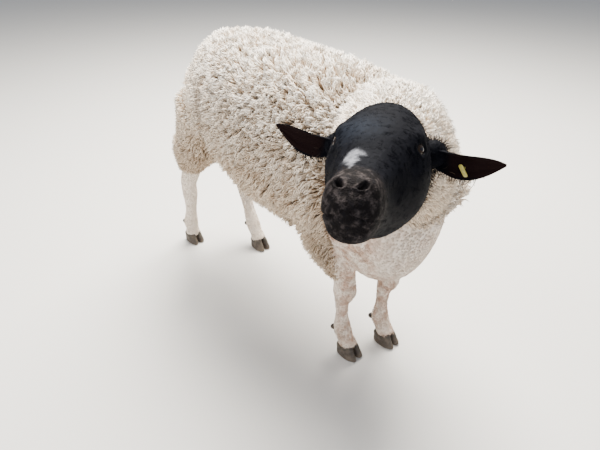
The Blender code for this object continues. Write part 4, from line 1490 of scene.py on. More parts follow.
class Nodes:
    """Adds nodes to a tree and joins them."""

    def __init__(self, tree: bpy.types.NodeTree) -> None:
        """Keeps the tree."""
        self.tree = tree

    def feed(self, node: bpy.types.Node, inputs: dict[str | int, object]) -> None:
        """Sets or joins a node's inputs.

        Args:
            node: the node.
            inputs: values or outgoing sockets for its inputs, by name or number.
        """
        for key, value in inputs.items():
            if isinstance(value, Socket):
                self.tree.links.new(value, node.inputs[key])
            else:
                node.inputs[key].default_value = value

    def make(self, kind: str, settings: dict | None = None, inputs: dict | None = None) -> bpy.types.Node:
        """Adds a node.

        Args:
            kind: the node's type.
            settings: its own settings.
            inputs: values or outgoing sockets for its inputs, by name or number.

        Returns:
            The node.
        """
        node = self.tree.nodes.new(kind)
        for key, value in (settings or {}).items():
            setattr(node, key, value)
        self.feed(node, inputs or {})
        return node

    def math(self, operation: str, first: object, second: object = 0.0, clamp: bool = False) -> Socket:
        """A number from one or two others, kept from 0 to 1 where `clamp` is set."""
        settings = {"operation": operation, "use_clamp": clamp}
        return self.make("ShaderNodeMath", settings, {0: first, 1: second}).outputs[0]

    def times(self, first: object, second: object) -> Socket:
        """The product of two numbers or sockets."""
        return self.math("MULTIPLY", first, second)

    def plus(self, first: object, second: object) -> Socket:
        """The sum of two numbers or sockets."""
        return self.math("ADD", first, second)

    def shaken(self, value: object, noise: Socket, amount: float, clamp: bool = False) -> Socket:
        """A number moved up and down by uneven values from 0 to 1, over a range of `amount`."""
        return self.math("ADD", value, self.times(self.math("SUBTRACT", noise, 0.5), amount), clamp)

    def layered(self, colour: Colour | Socket, *layers: tuple[Socket, Colour | Socket]) -> Socket:
        """A colour with others laid over it in turn.

        Args:
            colour: the lowest colour.
            layers: how much of each further colour shows, and that colour.

        Returns:
            The outgoing colour.
        """
        for share, over in layers:
            pair = ((*c, 1.0) if isinstance(c, tuple) else c for c in (colour, over))
            inputs = dict(zip((0, 6, 7), (share, *pair)))
            colour = self.make("ShaderNodeMix", {"data_type": "RGBA"}, inputs).outputs[2]
        return colour

    def ranged(self, value: object, low: float, high: float, *to: float) -> Socket:
        """A number moved softly from `low` to `high` into another range, 0 to 1 if none is given."""
        inputs = dict(enumerate((value, low, high, *(to or (0.0, 1.0)))))
        return self.make("ShaderNodeMapRange", {"interpolation_type": "SMOOTHSTEP"}, inputs).outputs[0]

    def noise(self, vector: object, scale: object, detail: float = 3.0, rough: float = 0.6) -> Socket:
        """Uneven values from 0 to 1, with `detail` finer layers, each `rough` as strong as the last."""
        inputs = {"Vector": vector, "Scale": scale, "Detail": detail, "Roughness": rough}
        return self.make("ShaderNodeTexNoise", {}, inputs).outputs["Fac"]

    def stored(self, name: str, output: str = "Fac") -> Socket:
        """What is stored on the mesh under a name."""
        return self.make("ShaderNodeAttribute", {"attribute_name": name}).outputs[output]

    def place(self) -> Socket:
        """The place in metres."""
        return self.make("ShaderNodeTexCoord").outputs["Object"]

    def vector(self, x: object, y: object, z: object) -> Socket:
        """A vector from three numbers."""
        return self.make("ShaderNodeCombineXYZ", {}, {0: x, 1: y, 2: z}).outputs[0]

    def axis(self, vector: Socket, axis: int) -> Socket:
        """One of a vector's three numbers."""
        return self.make("ShaderNodeSeparateXYZ", {}, {0: vector}).outputs[axis]

    def bump(self, height: Socket, strength: float, distance: float) -> Socket:
        """A normal from a height."""
        inputs = {"Height": height, "Strength": strength, "Distance": distance}
        return self.make("ShaderNodeBump", {}, inputs).outputs[0]


def shared_group(name: str, inputs: dict[str, float | None], outputs: tuple[str, ...]) -> tuple[Nodes, dict]:
    """Starts a shader group that several finishes use.

    Args:
        name: its name.
        inputs: numbers by name, with None for a vector.
        outputs: the names of the numbers that it gives.

    Returns:
        Its nodes, and the sockets of what it is given.
    """
    tree = bpy.data.node_groups.new(name, "ShaderNodeTree")
    for key, value in inputs.items():
        kind = "NodeSocketVector" if value is None else "NodeSocketFloat"
        socket = tree.interface.new_socket(key, in_out="INPUT", socket_type=kind)
        if value is not None:
            socket.default_value = value
    for key in outputs:
        tree.interface.new_socket(key, in_out="OUTPUT", socket_type="NodeSocketFloat")
    nodes = Nodes(tree)
    given = nodes.make("NodeGroupInput").outputs
    return nodes, {key: given[key] for key in inputs}


def strands_group() -> bpy.types.NodeTree:
    """Fine hairs lying side by side: their height, and a tone that differs from hair to hair.

    Returns:
        The group.
    """
    nodes, given = shared_group("Strands", {"Vector": None, "Scale": 900.0}, ("Height", "Tone"))
    fine = nodes.noise(given["Vector"], given["Scale"], 2.0)
    wide = nodes.noise(given["Vector"], nodes.times(given["Scale"], 0.22))
    height = nodes.plus(nodes.times(fine, 0.6), nodes.times(wide, 0.9))
    nodes.make("NodeGroupOutput", {}, {"Height": height, "Tone": wide})
    return nodes.tree


def dust_group() -> bpy.types.NodeTree:
    """Uneven patches of dust and dry grass stain, stronger near the ground.

    Returns:
        The group.
    """
    names = {"Vector": None, "Scale": 14.0, "Amount": 0.5, "Hem": 0.25}
    nodes, given = shared_group("Dust", names, ("Mask",))
    patches = nodes.ranged(nodes.noise(given["Vector"], given["Scale"], 4.0, 0.62), 0.42, 0.70)
    share = nodes.math("DIVIDE", nodes.axis(given["Vector"], 2), given["Hem"])
    low = nodes.times(nodes.math("SUBTRACT", 1.0, share, True), 0.9)
    mask = nodes.math("MULTIPLY", nodes.plus(patches, low), given["Amount"], True)
    nodes.make("NodeGroupOutput", {}, {"Mask": mask})
    return nodes.tree


# A cool tint for shine, as an overcast sky gives it.
SKY_TINT = (0.78, 0.88, 1.0, 1.0)


class Finish(Nodes):
    """A material's nodes, with the shared groups, its name, and its constant values by socket."""

    title: str
    fixed: dict[str, object]

    def __init__(self, strands: bpy.types.NodeTree, dust: bpy.types.NodeTree) -> None:
        """Starts the material.

        Args:
            strands: the shared group of fine hairs.
            dust: the shared group of dust and stain.
        """
        self.strands, self.dust = strands, dust
        self.material = bpy.data.materials.new(self.title)
        self.material.use_nodes = True
        super().__init__(self.material.node_tree)

    def build(self) -> bpy.types.Material:
        """The material, with its constant values set and its changing ones joined."""
        self.feed(self.tree.nodes["Principled BSDF"], {**self.fixed, **self.looks()})
        return self.material

    def looks(self) -> dict[str, Socket]:
        """What changes over the surface, by the shader's input."""
        raise NotImplementedError

    def hairs(self, vector: Socket, scale: float) -> tuple[Socket, Socket]:
        """The height and the tone of fine hairs lying side by side.

        Args:
            vector: where they are read.
            scale: how fine they are.

        Returns:
            Their height and their tone.
        """
        inputs = {"Vector": vector, "Scale": scale}
        made = self.make("ShaderNodeGroup", {"node_tree": self.strands}, inputs).outputs
        return made["Height"], made["Tone"]

    def stained(self, scale: float, amount: float, hem: float) -> Socket:
        """How much dust and stain there is: up to `amount`, and more below the height `hem`."""
        inputs = {"Vector": self.place(), "Scale": scale, "Amount": amount, "Hem": hem}
        return self.make("ShaderNodeGroup", {"node_tree": self.dust}, inputs).outputs["Mask"]


class WoolFinish(Finish):
    """Curled wool, cream at its tips: painted shade makes it grey-brown towards its roots and in folds, and
    painted light makes it paler on the back, where it faces up.
    """

    # Painted shade: the dark grey-brown deep in the fleece, towards the locks' roots.
    root: Colour = (0.500, 0.350, 0.225)
    middle: Colour = (0.780, 0.640, 0.490)
    tip: Colour = (0.900, 0.750, 0.580)
    # Painted light: the tips turn to this paler colour where the fleece faces up.
    painted_top_light: Colour = (0.985, 0.955, 0.895)
    stain: Colour = (0.500, 0.335, 0.185)
    # Painted shade laid on the wool in its folds.
    shade: Colour = (0.230, 0.155, 0.100)
    crimps: float = 70.0
    title = "fleece wool"
    fixed = {"Sheen Weight": 0.10, "Sheen Roughness": 0.6, "Specular IOR Level": 0.15}

    def looks(self) -> dict[str, Socket]:
        """The locks, by their stored tone from root to tip.

        Returns:
            Sockets by the shader's input.
        """
        tone, chance, around = (self.stored(name) for name in ("tone", "chance", "around"))
        fibre = self.vector(self.times(around, 5.0), self.times(tone, 1.6), self.times(chance, 90.0))
        height, fine = self.hairs(fibre, 3.0)
        # Painted shade: the locks run from the dark root colour near the skin to the cream tip.
        colour = self.layered(
            self.root,
            (self.ranged(tone, 0.10, 0.62), self.middle),
            # Painted light: the tips grow paler by the stored `top`, which rises where the skin faces up.
            (self.ranged(tone, 0.45, 0.98), self.layered(self.tip, (self.stored("top"), self.painted_top_light))),
            (self.ranged(chance, 0.55, 1.0, 0.0, 0.35), self.middle),
            (self.ranged(fine, 0.40, 0.68, 0.0, 0.22), self.root),
            (self.stained(24.0, 0.42, 0.50), self.stain),
            # Painted shade in the folds behind the flanks, below the neck and in the skirt.
            (self.times(self.stored("fold"), 0.85), self.shade),
        )
        crimp = self.math("SINE", self.times(tone, self.crimps))
        return {
            "Base Color": colour,
            "Roughness": self.ranged(fine, 0.2, 0.8, 0.80, 0.97),
            "Normal": self.bump(self.plus(height, self.times(crimp, 0.22)), 0.55, 0.0012),
        }


@dataclass(frozen=True)
class Coat:
    """The colours of the short coat and bare skin, shared by the skin and its tufts."""

    white: Colour = (0.890, 0.800, 0.700)
    # Pink-brown of the skin's flush, also laid on as painted shade under the chest.
    flush: Colour = (0.500, 0.310, 0.225)
    # Grey-brown laid on as painted shade below the wool and at the roots of white blades, and also used as a
    # random hair tone.
    under: Colour = (0.480, 0.385, 0.300)
    black: Colour = (0.0028, 0.0030, 0.0046)
    glossy: Colour = (0.010, 0.010, 0.014)
    muzzle: Colour = (0.0075, 0.0062, 0.0060)
    speck: Colour = (0.062, 0.052, 0.051)
    # The colour of the painted sky-blue sheen on the forehead.
    shine: Colour = (0.0090, 0.0115, 0.0175)
    patch: Colour = (0.175, 0.180, 0.205)
    ear: Colour = (0.009, 0.0045, 0.0045)


class HideFinish(Finish):
    """The skin under the coat with its short flat hair, in every marking."""

    coat = Coat()
    stain: Colour = (0.40, 0.31, 0.21)
    title = "short hair and skin"
    fixed = {"Specular IOR Level": 0.018, "Specular Tint": SKY_TINT}

    def pale(self, tone: Socket) -> Socket:
        """The white hair: flushed where the skin shows, the flush also laid on as painted shade under the
        chest, and grey-brown below the wool as painted shade.

        Args:
            tone: a tone that differs from hair to hair.

        Returns:
            The outgoing colour.
        """
        patches = self.ranged(self.noise(self.place(), 38.0, 4.0), 0.38, 0.66)
        # Partly the skin's flush and partly painted shade under the chest.
        flush = self.plus(self.times(self.stored("pink"), 0.75), 0.12)
        return self.layered(
            self.coat.white,
            (self.times(patches, flush), self.coat.flush),
            (self.ranged(tone, 0.35, 0.70, 0.0, 0.30), self.coat.under),
            (self.stained(30.0, 0.20, 0.14), self.stain),
            # Painted shade: grey-brown skin below the wool.
            (self.ranged(self.stored("wool"), 0.15, 0.7, 0.0, 0.85), self.coat.under),
        )

    def black(self, tone: Socket, fine: Socket) -> Socket:
        """The black hair, with the speckled muzzle, the ears' insides, the forehead's painted sheen and the
        white mark.

        Args:
            tone: a tone that differs from hair to hair.
            fine: fine uneven values.

        Returns:
            The outgoing colour.
        """
        patch, coat = self.stored("patch"), self.coat
        mottle = self.ranged(self.noise(self.place(), 130.0), 0.44, 0.72)
        specks = self.times(mottle, self.ranged(fine, 0.25, 0.65, 0.35, 1.0))
        # Painted sheen: the forehead's hair is tinted sky-blue.
        gleam = self.times(self.stored("gleam"), self.ranged(tone, 0.3, 0.7, 0.5, 1.0))
        ragged = self.ranged(self.shaken(patch, fine, 0.9), 0.0, 1.0)
        ragged = self.math("POWER", self.times(ragged, self.ranged(patch, 0.0, 0.2)), 2.4)
        return self.layered(
            coat.black,
            (self.times(self.stored("muzzle"), 0.85), self.layered(coat.muzzle, (specks, coat.speck))),
            (self.ranged(tone, 0.45, 0.75, 0.0, 0.3), coat.glossy),
            (self.stored("inner"), coat.ear),
            (gleam, coat.shine),
            (ragged, coat.patch),
        )

    def looks(self) -> dict[str, Socket]:
        """The skin, black or white by its stored markings.

        Returns:
            Sockets by the shader's input.
        """
        dark, fine = self.stored("dark"), self.noise(self.place(), 420.0, 3.0, 0.65)
        height, tone = self.hairs(self.stored("hair_place", "Vector"), 1100.0)
        share = self.ranged(dark, 0.35, 0.65)
        pebble = self.make("ShaderNodeTexVoronoi", {}, {"Vector": self.place(), "Scale": 520.0})
        grain = self.times(self.times(pebble.outputs["Distance"], self.stored("muzzle")), 1.1)
        return {
            "Base Color": self.layered(self.pale(tone), (share, self.black(tone, fine))),
            "Roughness": self.shaken(self.ranged(dark, 0.3, 0.7, 0.85, 0.72), fine, 0.25, True),
            "Normal": self.bump(self.plus(height, grain), 0.60, 0.0009),
        }


class HairFinish(Finish):
    """Tufts of short hair, rough by `rough`, with their colour given by each kind."""

    coat = Coat()
    rough: tuple[float, float] = (0.70, 0.88)
    fixed = {"Specular IOR Level": 0.034, "Specular Tint": SKY_TINT}

    def colour(self, tone: Socket, chance: Socket) -> Socket:
        """The hair's colour, from its tone along each blade and its chance from tuft to tuft."""
        raise NotImplementedError

    def looks(self) -> dict[str, Socket]:
        """The tufts.

        Returns:
            Sockets by the shader's input.
        """
        tone, chance = self.stored("tone"), self.stored("chance")
        height, _ = self.hairs(self.vector(self.stored("around"), tone, chance), 12.0)
        return {
            "Base Color": self.colour(tone, chance),
            "Roughness": self.ranged(chance, 0.0, 1.0, *self.rough),
            "Normal": self.bump(height, 0.3, 0.0004),
        }


class WhiteHairFinish(HairFinish):
    """White tufts, flushed on the chest (partly painted shade), painted with shade at their roots, and
    stained near the ground.
    """

    stain: Colour = (0.42, 0.33, 0.23)
    bright: Colour = (0.91, 0.84, 0.76)
    title = "white hair"

    def colour(self, tone: Socket, chance: Socket) -> Socket:
        """The white hair's colour.

        Args:
            tone: 0 at a blade's root to 1 at its tip.
            chance: a value for each tuft.

        Returns:
            The outgoing colour.
        """
        # Partly the skin's flush and partly painted shade under the chest.
        flush = self.plus(self.times(self.stored("pink"), 0.85), 0.12)
        patches = self.ranged(self.noise(self.place(), 38.0, 4.0), 0.34, 0.66, 0.25, 1.0)
        return self.layered(
            self.coat.white,
            (self.times(flush, patches), self.coat.flush),
            # Painted shade: the blades darker towards their roots.
            (self.ranged(tone, 0.1, 0.8, 0.28, 0.0), self.coat.under),
            (self.stained(30.0, 0.18, 0.14), self.stain),
            (self.ranged(chance, 0.5, 1.0, 0.0, 0.35), self.bright),
        )


class BlackHairFinish(HairFinish):
    """Black tufts, with the muzzle's and the white mark's tones, the forehead's painted sheen, and brown ones
    in the fringe.
    """

    rough: tuple[float, float] = (0.60, 0.78)
    brown: Colour = (0.110, 0.080, 0.056)
    title = "black hair"

    def colour(self, tone: Socket, chance: Socket) -> Socket:
        """The black hair's colour.

        Args:
            tone: 0 at a blade's root to 1 at its tip.
            chance: a value for each tuft.

        Returns:
            The outgoing colour.
        """
        coat = self.coat
        ragged = self.ranged(self.shaken(self.stored("patch"), chance, 0.5), 0.10, 1.0)
        brown = self.times(self.ranged(chance, 0.45, 1.0), self.stored("brown"))
        return self.layered(
            coat.black,
            (self.ranged(chance, 0.6, 1.0, 0.0, 0.5), coat.glossy),
            (self.times(self.stored("muzzle"), 0.8), coat.muzzle),
            # Painted sheen on the forehead.
            (self.times(self.stored("gleam"), 0.7), coat.shine),
            (self.math("POWER", ragged, 2.4), coat.patch),
            (self.times(brown, self.ranged(tone, 0.2, 0.9)), self.brown),
        )


class EyeFinish(Finish):
    """A wet dark eye with a brown iris and a level, oblong pupil."""

    white: Colour = (0.016, 0.011, 0.009)
    iris: Colour = (0.014, 0.008, 0.005)
    streak: Colour = (0.034, 0.019, 0.010)
    rim: Colour = (0.006, 0.004, 0.003)
    pupil: Colour = (0.004, 0.004, 0.008)
    pupil_size: tuple[float, float] = (0.36, 0.15)
    title = "eye"
    fixed = {
        "Coat Weight": 0.22,
        "Coat Roughness": 0.09,
        "Coat IOR": 1.33,
        "Specular IOR Level": 0.12,
    }

    def looks(self) -> dict[str, Socket]:
        """The eyeball, by the stored direction of each place from its middle.

        Returns:
            Sockets by the shader's input.
        """
        across, up = (self.axis(self.stored("gaze", "Vector"), axis) for axis in (0, 1))
        x, y = (self.math("ABSOLUTE", value) for value in (across, up))
        far = self.math("SQRT", self.plus(self.times(x, x), self.times(y, y)))
        spoke = self.times(self.math("ARCTAN2", up, across), 6.0)
        streak = self.noise(self.vector(spoke, far, 0.0), 3.0, 4.0)
        halves = zip((x, y), self.pupil_size)
        wide, tall = (self.math("POWER", self.math("DIVIDE", value, half), 4.0) for value, half in halves)
        colour = self.layered(
            self.iris,
            (self.ranged(streak, 0.35, 0.70), self.streak),
            (self.ranged(far, 0.52, 0.66), self.rim),
            (self.ranged(far, 0.66, 0.72), self.white),
            (self.ranged(self.plus(wide, tall), 1.25, 0.80), self.pupil),
        )
        return {"Base Color": colour, "Roughness": self.ranged(streak, 0.3, 0.8, 0.10, 0.22)}


class HornFinish(Finish):
    """Hooves: dark dull horn with growth rings, worn pale and dusty at the ground."""

    horn: Colour = (0.013, 0.010, 0.009)
    ring: Colour = (0.055, 0.043, 0.034)
    worn: Colour = (0.110, 0.085, 0.062)
    stain: Colour = (0.180, 0.140, 0.100)
    growth: float = 2600.0
    title = "hoof horn"
    fixed = {"Specular IOR Level": 0.45}

    def looks(self) -> dict[str, Socket]:
        """The horn, ringed by its height over the ground.

        Returns:
            Sockets by the shader's input.
        """
        height, uneven = self.axis(self.place(), 2), self.noise(self.place(), 160.0, 4.0)
        rings = self.math("SINE", self.plus(self.times(height, self.growth), self.times(uneven, 5.0)))
        edge = self.times(self.ranged(height, 0.012, 0.0), self.ranged(uneven, 0.35, 0.65))
        colour = self.layered(
            self.horn,
            (self.ranged(rings, 0.0, 1.0, 0.0, 0.35), self.ring),
            (edge, self.worn),
            (self.stained(60.0, 0.35, 0.05), self.stain),
        )
        return {
            "Base Color": colour,
            "Roughness": self.ranged(uneven, 0.3, 0.7, 0.48, 0.75),
            "Normal": self.bump(self.plus(self.times(rings, 0.25), uneven), 0.5, 0.0006),
        }


class TagFinish(Finish):
    """Moulded yellow plastic, a little faded and scuffed."""

    fresh: Colour = (0.430, 0.380, 0.070)
    faded: Colour = (0.480, 0.430, 0.150)
    scuffed: Colour = (0.350, 0.300, 0.120)
    title = "tag plastic"
    fixed = {"Specular IOR Level": 0.5}

    def looks(self) -> dict[str, Socket]:
        """The plastic.

        Returns:
            Sockets by the shader's input.
        """
        wide, fine = self.noise(self.place(), 90.0, 3.0, 0.5), self.noise(self.place(), 1800.0)
        faded = (self.ranged(wide, 0.35, 0.70), self.faded)
        scuffed = (self.ranged(fine, 0.60, 0.80, 0.0, 0.4), self.scuffed)
        return {
            "Base Color": self.layered(self.fresh, faded, scuffed),
            "Roughness": self.ranged(fine, 0.3, 0.8, 0.35, 0.60),
            "Normal": self.bump(fine, 0.2, 0.0002),
        }


class FloorFinish(Finish):
    """A plain pale studio floor."""

    paint: Colour = (0.600, 0.590, 0.572)
    cloud: Colour = (0.565, 0.555, 0.535)
    title = "studio floor"
    fixed = {"Specular IOR Level": 0.2}

    def looks(self) -> dict[str, Socket]:
        """The floor.

        Returns:
            Sockets by the shader's input.
        """
        wide = self.noise(self.place(), 2.0, 3.0, 0.5)
        return {
            "Base Color": self.layered(self.paint, (self.ranged(wide, 0.3, 0.7, 0.0, 0.12), self.cloud)),
            "Roughness": self.ranged(wide, 0.3, 0.7, 0.75, 0.85),
        }


def scatter(skin: Object, share: Array, spacing: float, seed: int) -> tuple[Array, Array]:
    """Evenly spread places on a skin.

    Args:
        skin: the object to read.
        share: how much of the full number grows at each vertex.
        spacing: about how far apart the places are.
        seed: which spread to take.

    Returns:
        (N, 3) places and (N, 3) normals.
    """
    points, normals, tris = mesh_points(skin), mesh_normals(skin), mesh_triangles(skin)
    a, b, c = points[tris].transpose(1, 0, 2)
    area = np.linalg.norm(np.cross(b - a, c - a), axis=1) / 2
    area *= share[tris].max(1) > 0.02
    random = np.random.default_rng(seed)
    pick = random.choice(len(area), int(7 * area.sum() / spacing**2), p=area / area.sum())
    mix = random.random((len(pick), 2))
    mix = np.where(mix.sum(1, keepdims=True) > 1, 1 - mix, mix)
    mix = np.concatenate([1 - mix.sum(1, keepdims=True), mix], 1)
    places = (points[tris[pick]] * mix[..., None]).sum(1)
    facing = unit((normals[tris[pick]] * mix[..., None]).sum(1))
    keep = random.random(len(pick)) < (share[tris[pick]] * mix).sum(1)
    places, facing = places[keep], facing[keep]
    # One place is kept in each cell, and the factors give each cell a number of its own.
    cells = np.floor(places / (spacing * 1.22)).astype(np.int64)
    _, first = np.unique(cells @ (1, 4001, 16016003), return_index=True)
    return places[first], facing[first]


@dataclass
class Locks:
    """Many tapered, curled locks, as arrays."""

    centre: Array
    radius: Array
    root: Array
    values: dict[str, Array]
    steps: tuple[float, ...] = (0.0, 0.52, 0.84, 1.0)
    patch: float = 0.003

    def build(self, name: str, pick: Array) -> Object:
        """Some of the locks as one mesh.

        Args:
            name: the piece's name.
            pick: which locks go into it.

        Returns:
            The piece, with its map and its stored values.
        """
        centre, radius = self.centre[pick], self.radius[pick]
        count = len(centre)
        ahead = unit(np.gradient(centre, axis=1))
        hint = np.where(np.abs(ahead[..., 2:]) < 0.9, (0.0, 0.0, 1.0), (1.0, 0.0, 0.0))
        side = unit(np.cross(hint, ahead))
        up = np.cross(ahead, side)
        turn = np.array((0.0, 2 * np.pi / 3, 4 * np.pi / 3))
        ring = np.cos(turn)[:, None] * side[:, :3, None] + np.sin(turn)[:, None] * up[:, :3, None]
        rings = centre[:, :3, None] + ring * radius[:, :, None, None]
        points = np.concatenate([rings.reshape(count, 9, 3), centre[:, 3:]], axis=1)
        edges = [(3 * band + j, 3 * band + (j + 1) % 3) for band in range(3) for j in range(3)]
        quads = [(low, high, high + 3, low + 3) for low, high in edges[:6]]
        tris = [(low, high, 9) for low, high in edges[6:]] + [(2, 1, 0)]
        step = 10 * np.arange(count)[:, None, None]
        faces = ((np.array(found) + step).reshape(-1, len(found[0])) for found in (quads, tris))
        made = new_object(name, points.reshape(-1, 3), *faces)
        tone = np.append(np.repeat(self.steps[:3], 3), self.steps[3])
        around = np.append(np.tile((0.0, 1 / 3, 2 / 3), 3), 0.5)
        put_values(made, "tone", np.tile(tone, count))
        put_values(made, "around", np.tile(around, count))
        for key, found in self.values.items():
            put_values(made, key, np.repeat(found[pick], 10))
        local = np.stack([around - 0.5, tone - 0.5], -1) * self.patch
        put_bake_map(made, (self.root[pick][:, None] + local).reshape(-1, 2))
        return made


@dataclass
class Fleece:
    """The curled fleece, its locks gathered into small staples whose tips draw together."""

    skin: Object
    spacing: float = 0.0033
    staple: float = 0.0088
    width: float = 0.0015
    pull: float = 0.40
    curl: float = 0.0027
    turns: float = 1.30
    tallest: float = 0.043
    tail_depth: float = 0.026
    sunk: float = 0.004
    sway: float = 0.22
    most: int = 12000
    seed: int = 5
    map: CoatMap = field(default_factory=CoatMap)
    markings: Markings = field(default_factory=Markings)

    def depth(self, points: Array, normals: Array, part: Array) -> Array:
        """How far the tips stand off the skin.

        Args:
            points: the roots.
            normals: the skin's normals there.
            part: their part numbers.

        Returns:
            One depth for each root.
        """
        found = np.full(len(points), self.tallest)
        _, y, z = (points + MIDDLE).T
        hang = smoothstep(0.04, -0.06, y) * smoothstep(-0.25, -0.16, y)
        found -= (0.014 - 0.014 * hang) * smoothstep(0.1, -0.7, normals[:, 2])
        thigh = 0.016 * smoothstep(0.17, 0.25, y) * smoothstep(0.60, 0.50, z)
        found -= 0.008 * smoothstep(0.06, 0.20, y) + thigh
        found -= 0.012 * smoothstep(0.04, 0.12, y) * smoothstep(0.22, 0.17, y) * smoothstep(0.52, 0.46, z)
        found -= 0.009 * smoothstep(-0.36, -0.42, y) * smoothstep(0.50, 0.60, z)
        ahead = -to_head(points)[:, 1]
        near = smoothstep(0.30, 0.0, np.linalg.norm(to_head(points), axis=1))
        found -= 0.024 * near * smoothstep(-0.16, -0.005, ahead)
        found = np.where(np.isin(part, FRONT_LEGS), 0.010 + 0.018 * smoothstep(0.250, 0.340, z), found)
        found = np.where(np.isin(part, HIND_LEGS), 0.010 + 0.016 * smoothstep(0.290, 0.400, z), found)
        found = np.where(part == Part.TAIL, self.tail_depth, found)
        found = found * (1 - 0.38 * self.markings.fold(points))
        return found * (0.45 + 0.55 * smoothstep(0.0, 0.8, self.markings.wool(points, part)))

    def centres(self, roots: Array, normals: Array, part: Array, ahead: Array) -> Array:
        """The middle lines of the locks.

        Args:
            roots: where the locks grow.
            normals: the skin's normals there.
            part: part numbers.
            ahead: directions along the parts.

        Returns:
            (N, 4, 3) places.
        """
        random = np.random.default_rng(self.seed)
        count = len(roots)
        lie, depth = self.map.lie(normals, part, ahead), self.depth(roots, normals, part)
        weight = get_values(self.skin, "wool")
        heads, _ = scatter(self.skin, (weight > 0.3).astype(float), self.staple, self.seed + 1)
        tree = KDTree(len(heads))
        for i, place in enumerate(heads):
            tree.insert(place, i)
        tree.balance()
        group = np.array([tree.find(place)[1] for place in roots])
        size = np.maximum(np.bincount(group, minlength=len(heads)), 1)[:, None]

        def gathered(values: Array) -> Array:
            """The mean over each root's staple.

            Args:
                values: (N, 3) places, one for each root.

            Returns:
                (N, 3) means.
            """
            total = np.zeros((len(heads), 3))
            np.add.at(total, group, values)
            return (total / size)[group]

        tall = (depth * random.uniform(0.90, 1.05, len(heads))[group])[:, None]
        sway = random.normal(0, self.sway, (len(heads), 3))[group]
        lean = lie * random.uniform(0.10, 0.45, len(heads))[group][:, None] + sway
        lean -= normals * (lean * normals).sum(1, keepdims=True)
        own = roots + normals * tall + lean * tall * 0.55
        tips = own + (gathered(own) - own) * self.pull
        stray = random.normal(0, 0.0015, (count, 3))
        tips += stray + normals * tall * random.uniform(-0.12, 0.05, (count, 1))
        bend = roots + normals * tall * 0.62
        t = np.array(Locks.steps)[None, :, None]
        start = roots - normals * self.sunk
        line = start[:, None] * (1 - t) ** 2 + bend[:, None] * 2 * t * (1 - t) + tips[:, None] * t**2
        side = unit(np.cross(normals, lie + 0.3 * sway))
        other = np.cross(unit(tips - roots), side)
        hand = np.where(random.random(len(heads)) < 0.5, -1.0, 1.0)[group]
        phase = random.uniform(0, 2 * np.pi, len(heads))[group] + random.normal(0, 0.5, count)
        angle = phase[:, None, None] + hand[:, None, None] * 2 * np.pi * self.turns * t**2
        reach = self.curl * smoothstep(0.10, 0.75, t) * np.clip(tall[:, None] / 0.040, 0.35, 1.2)
        return line + reach * (np.cos(angle) * side[:, None] + np.sin(angle) * other[:, None])

    def build(self) -> list[Object]:
        """The whole fleece, in pieces by part of the body.

        Returns:
            The pieces.
        """
        random = np.random.default_rng(self.seed + 2)
        roots, normals = scatter(self.skin, get_values(self.skin, "wool"), self.spacing, self.seed)
        part, uv, ahead = self.map.read(roots)
        centre = self.centres(roots, normals, part, ahead)
        count = len(roots)
        thick = self.width * random.uniform(0.80, 1.20, count) * np.where(np.isin(part, LIMBS), 0.72, 1.0)
        radius = thick[:, None] * np.array((0.85, 1.05, 0.95))
        values = {
            "chance": random.random(count),
            # top: how much the skin faces up, for the wool's painted light.
            "top": smoothstep(-0.35, 0.90, normals[:, 2]),
            # fold: where the wool is painted with shade in its folds.
            "fold": self.markings.fold(roots),
        }
        locks = Locks(centre, radius, uv, values)
        torso, x, up = part == Part.TORSO, roots[:, 0] + MIDDLE[0], normals[:, 2] - 0.05
        flank = torso & (np.abs(up) <= 0.50)
        groups = {
            "back": torso & (normals[:, 2] > 0.55),
            "belly": torso & (normals[:, 2] < -0.45),
            "left": flank & (x >= 0),
            "right": flank & (x < 0),
            "neck": np.isin(part, (Part.NECK, Part.HEAD, *EARS)),
            "legs": np.isin(part, LIMBS),
        }
        made = []
        for name, wanted in groups.items():
            pick = np.flatnonzero(wanted)
            pick = pick[np.argsort(roots[pick, 1])]
            for number, some in enumerate(np.array_split(pick, -(-len(pick) // self.most)), 1):
                made.append(locks.build(f"fleece_{name}_{number}", some))
        return made


@dataclass
class Fringe:
    """Soft black hair where the head's short coat runs out into the fleece."""

    skin: Object
    spacing: float = 0.0020
    length: float = 0.0125
    width: float = 0.00042
    seed: int = 31
    map: CoatMap = field(default_factory=CoatMap)

    def build(self) -> Object:
        """The fringe as one piece.

        Returns:
            The object.
        """
        points = mesh_points(self.skin)
        head = to_head(points)
        ahead = -head[:, 1]
        band = smoothstep(-0.020, -0.008, ahead) * smoothstep(0.026, 0.006, ahead)
        band *= (np.hypot(head[:, 0], head[:, 2]) < 0.13) * (get_values(self.skin, "inner") < 0.5)
        roots, normals = scatter(self.skin, band, self.spacing, self.seed)
        random = np.random.default_rng(self.seed)
        _, uv, _ = self.map.read(roots)
        back = np.broadcast_to(HEAD_FRAME[:3, 1], roots.shape)
        out = unit(normals * 0.60 + back * 0.75 + random.normal(0, 0.26, roots.shape))
        near_ear = smoothstep(0.035, 0.060, np.abs(to_head(roots)[:, 0]))
        tall = (self.length * (0.65 + 1.0 * near_ear) * random.uniform(0.6, 1.2, len(roots)))[:, None, None]
        t = np.array(Locks.steps)[None, :, None]
        fall = np.array((0.0, 0.0, -0.30)) + 0.35 * back
        centre = roots[:, None] - normals[:, None] * 0.002
        centre = centre + out[:, None] * tall * t + fall[:, None] * tall * t**2
        centre += random.normal(0, 0.0012, (len(roots), 1, 3)) * np.sin(t * 5.0)
        radius = self.width * np.array((0.9, 1.0, 0.6)) * random.uniform(0.7, 1.2, (len(roots), 1))
        none = np.zeros(len(roots))
        values = {"chance": random.random(len(roots)), "brown": none + 1, "patch": none, "muzzle": none}
        return Locks(centre, radius, uv, values).build("fringe", np.arange(len(roots)))


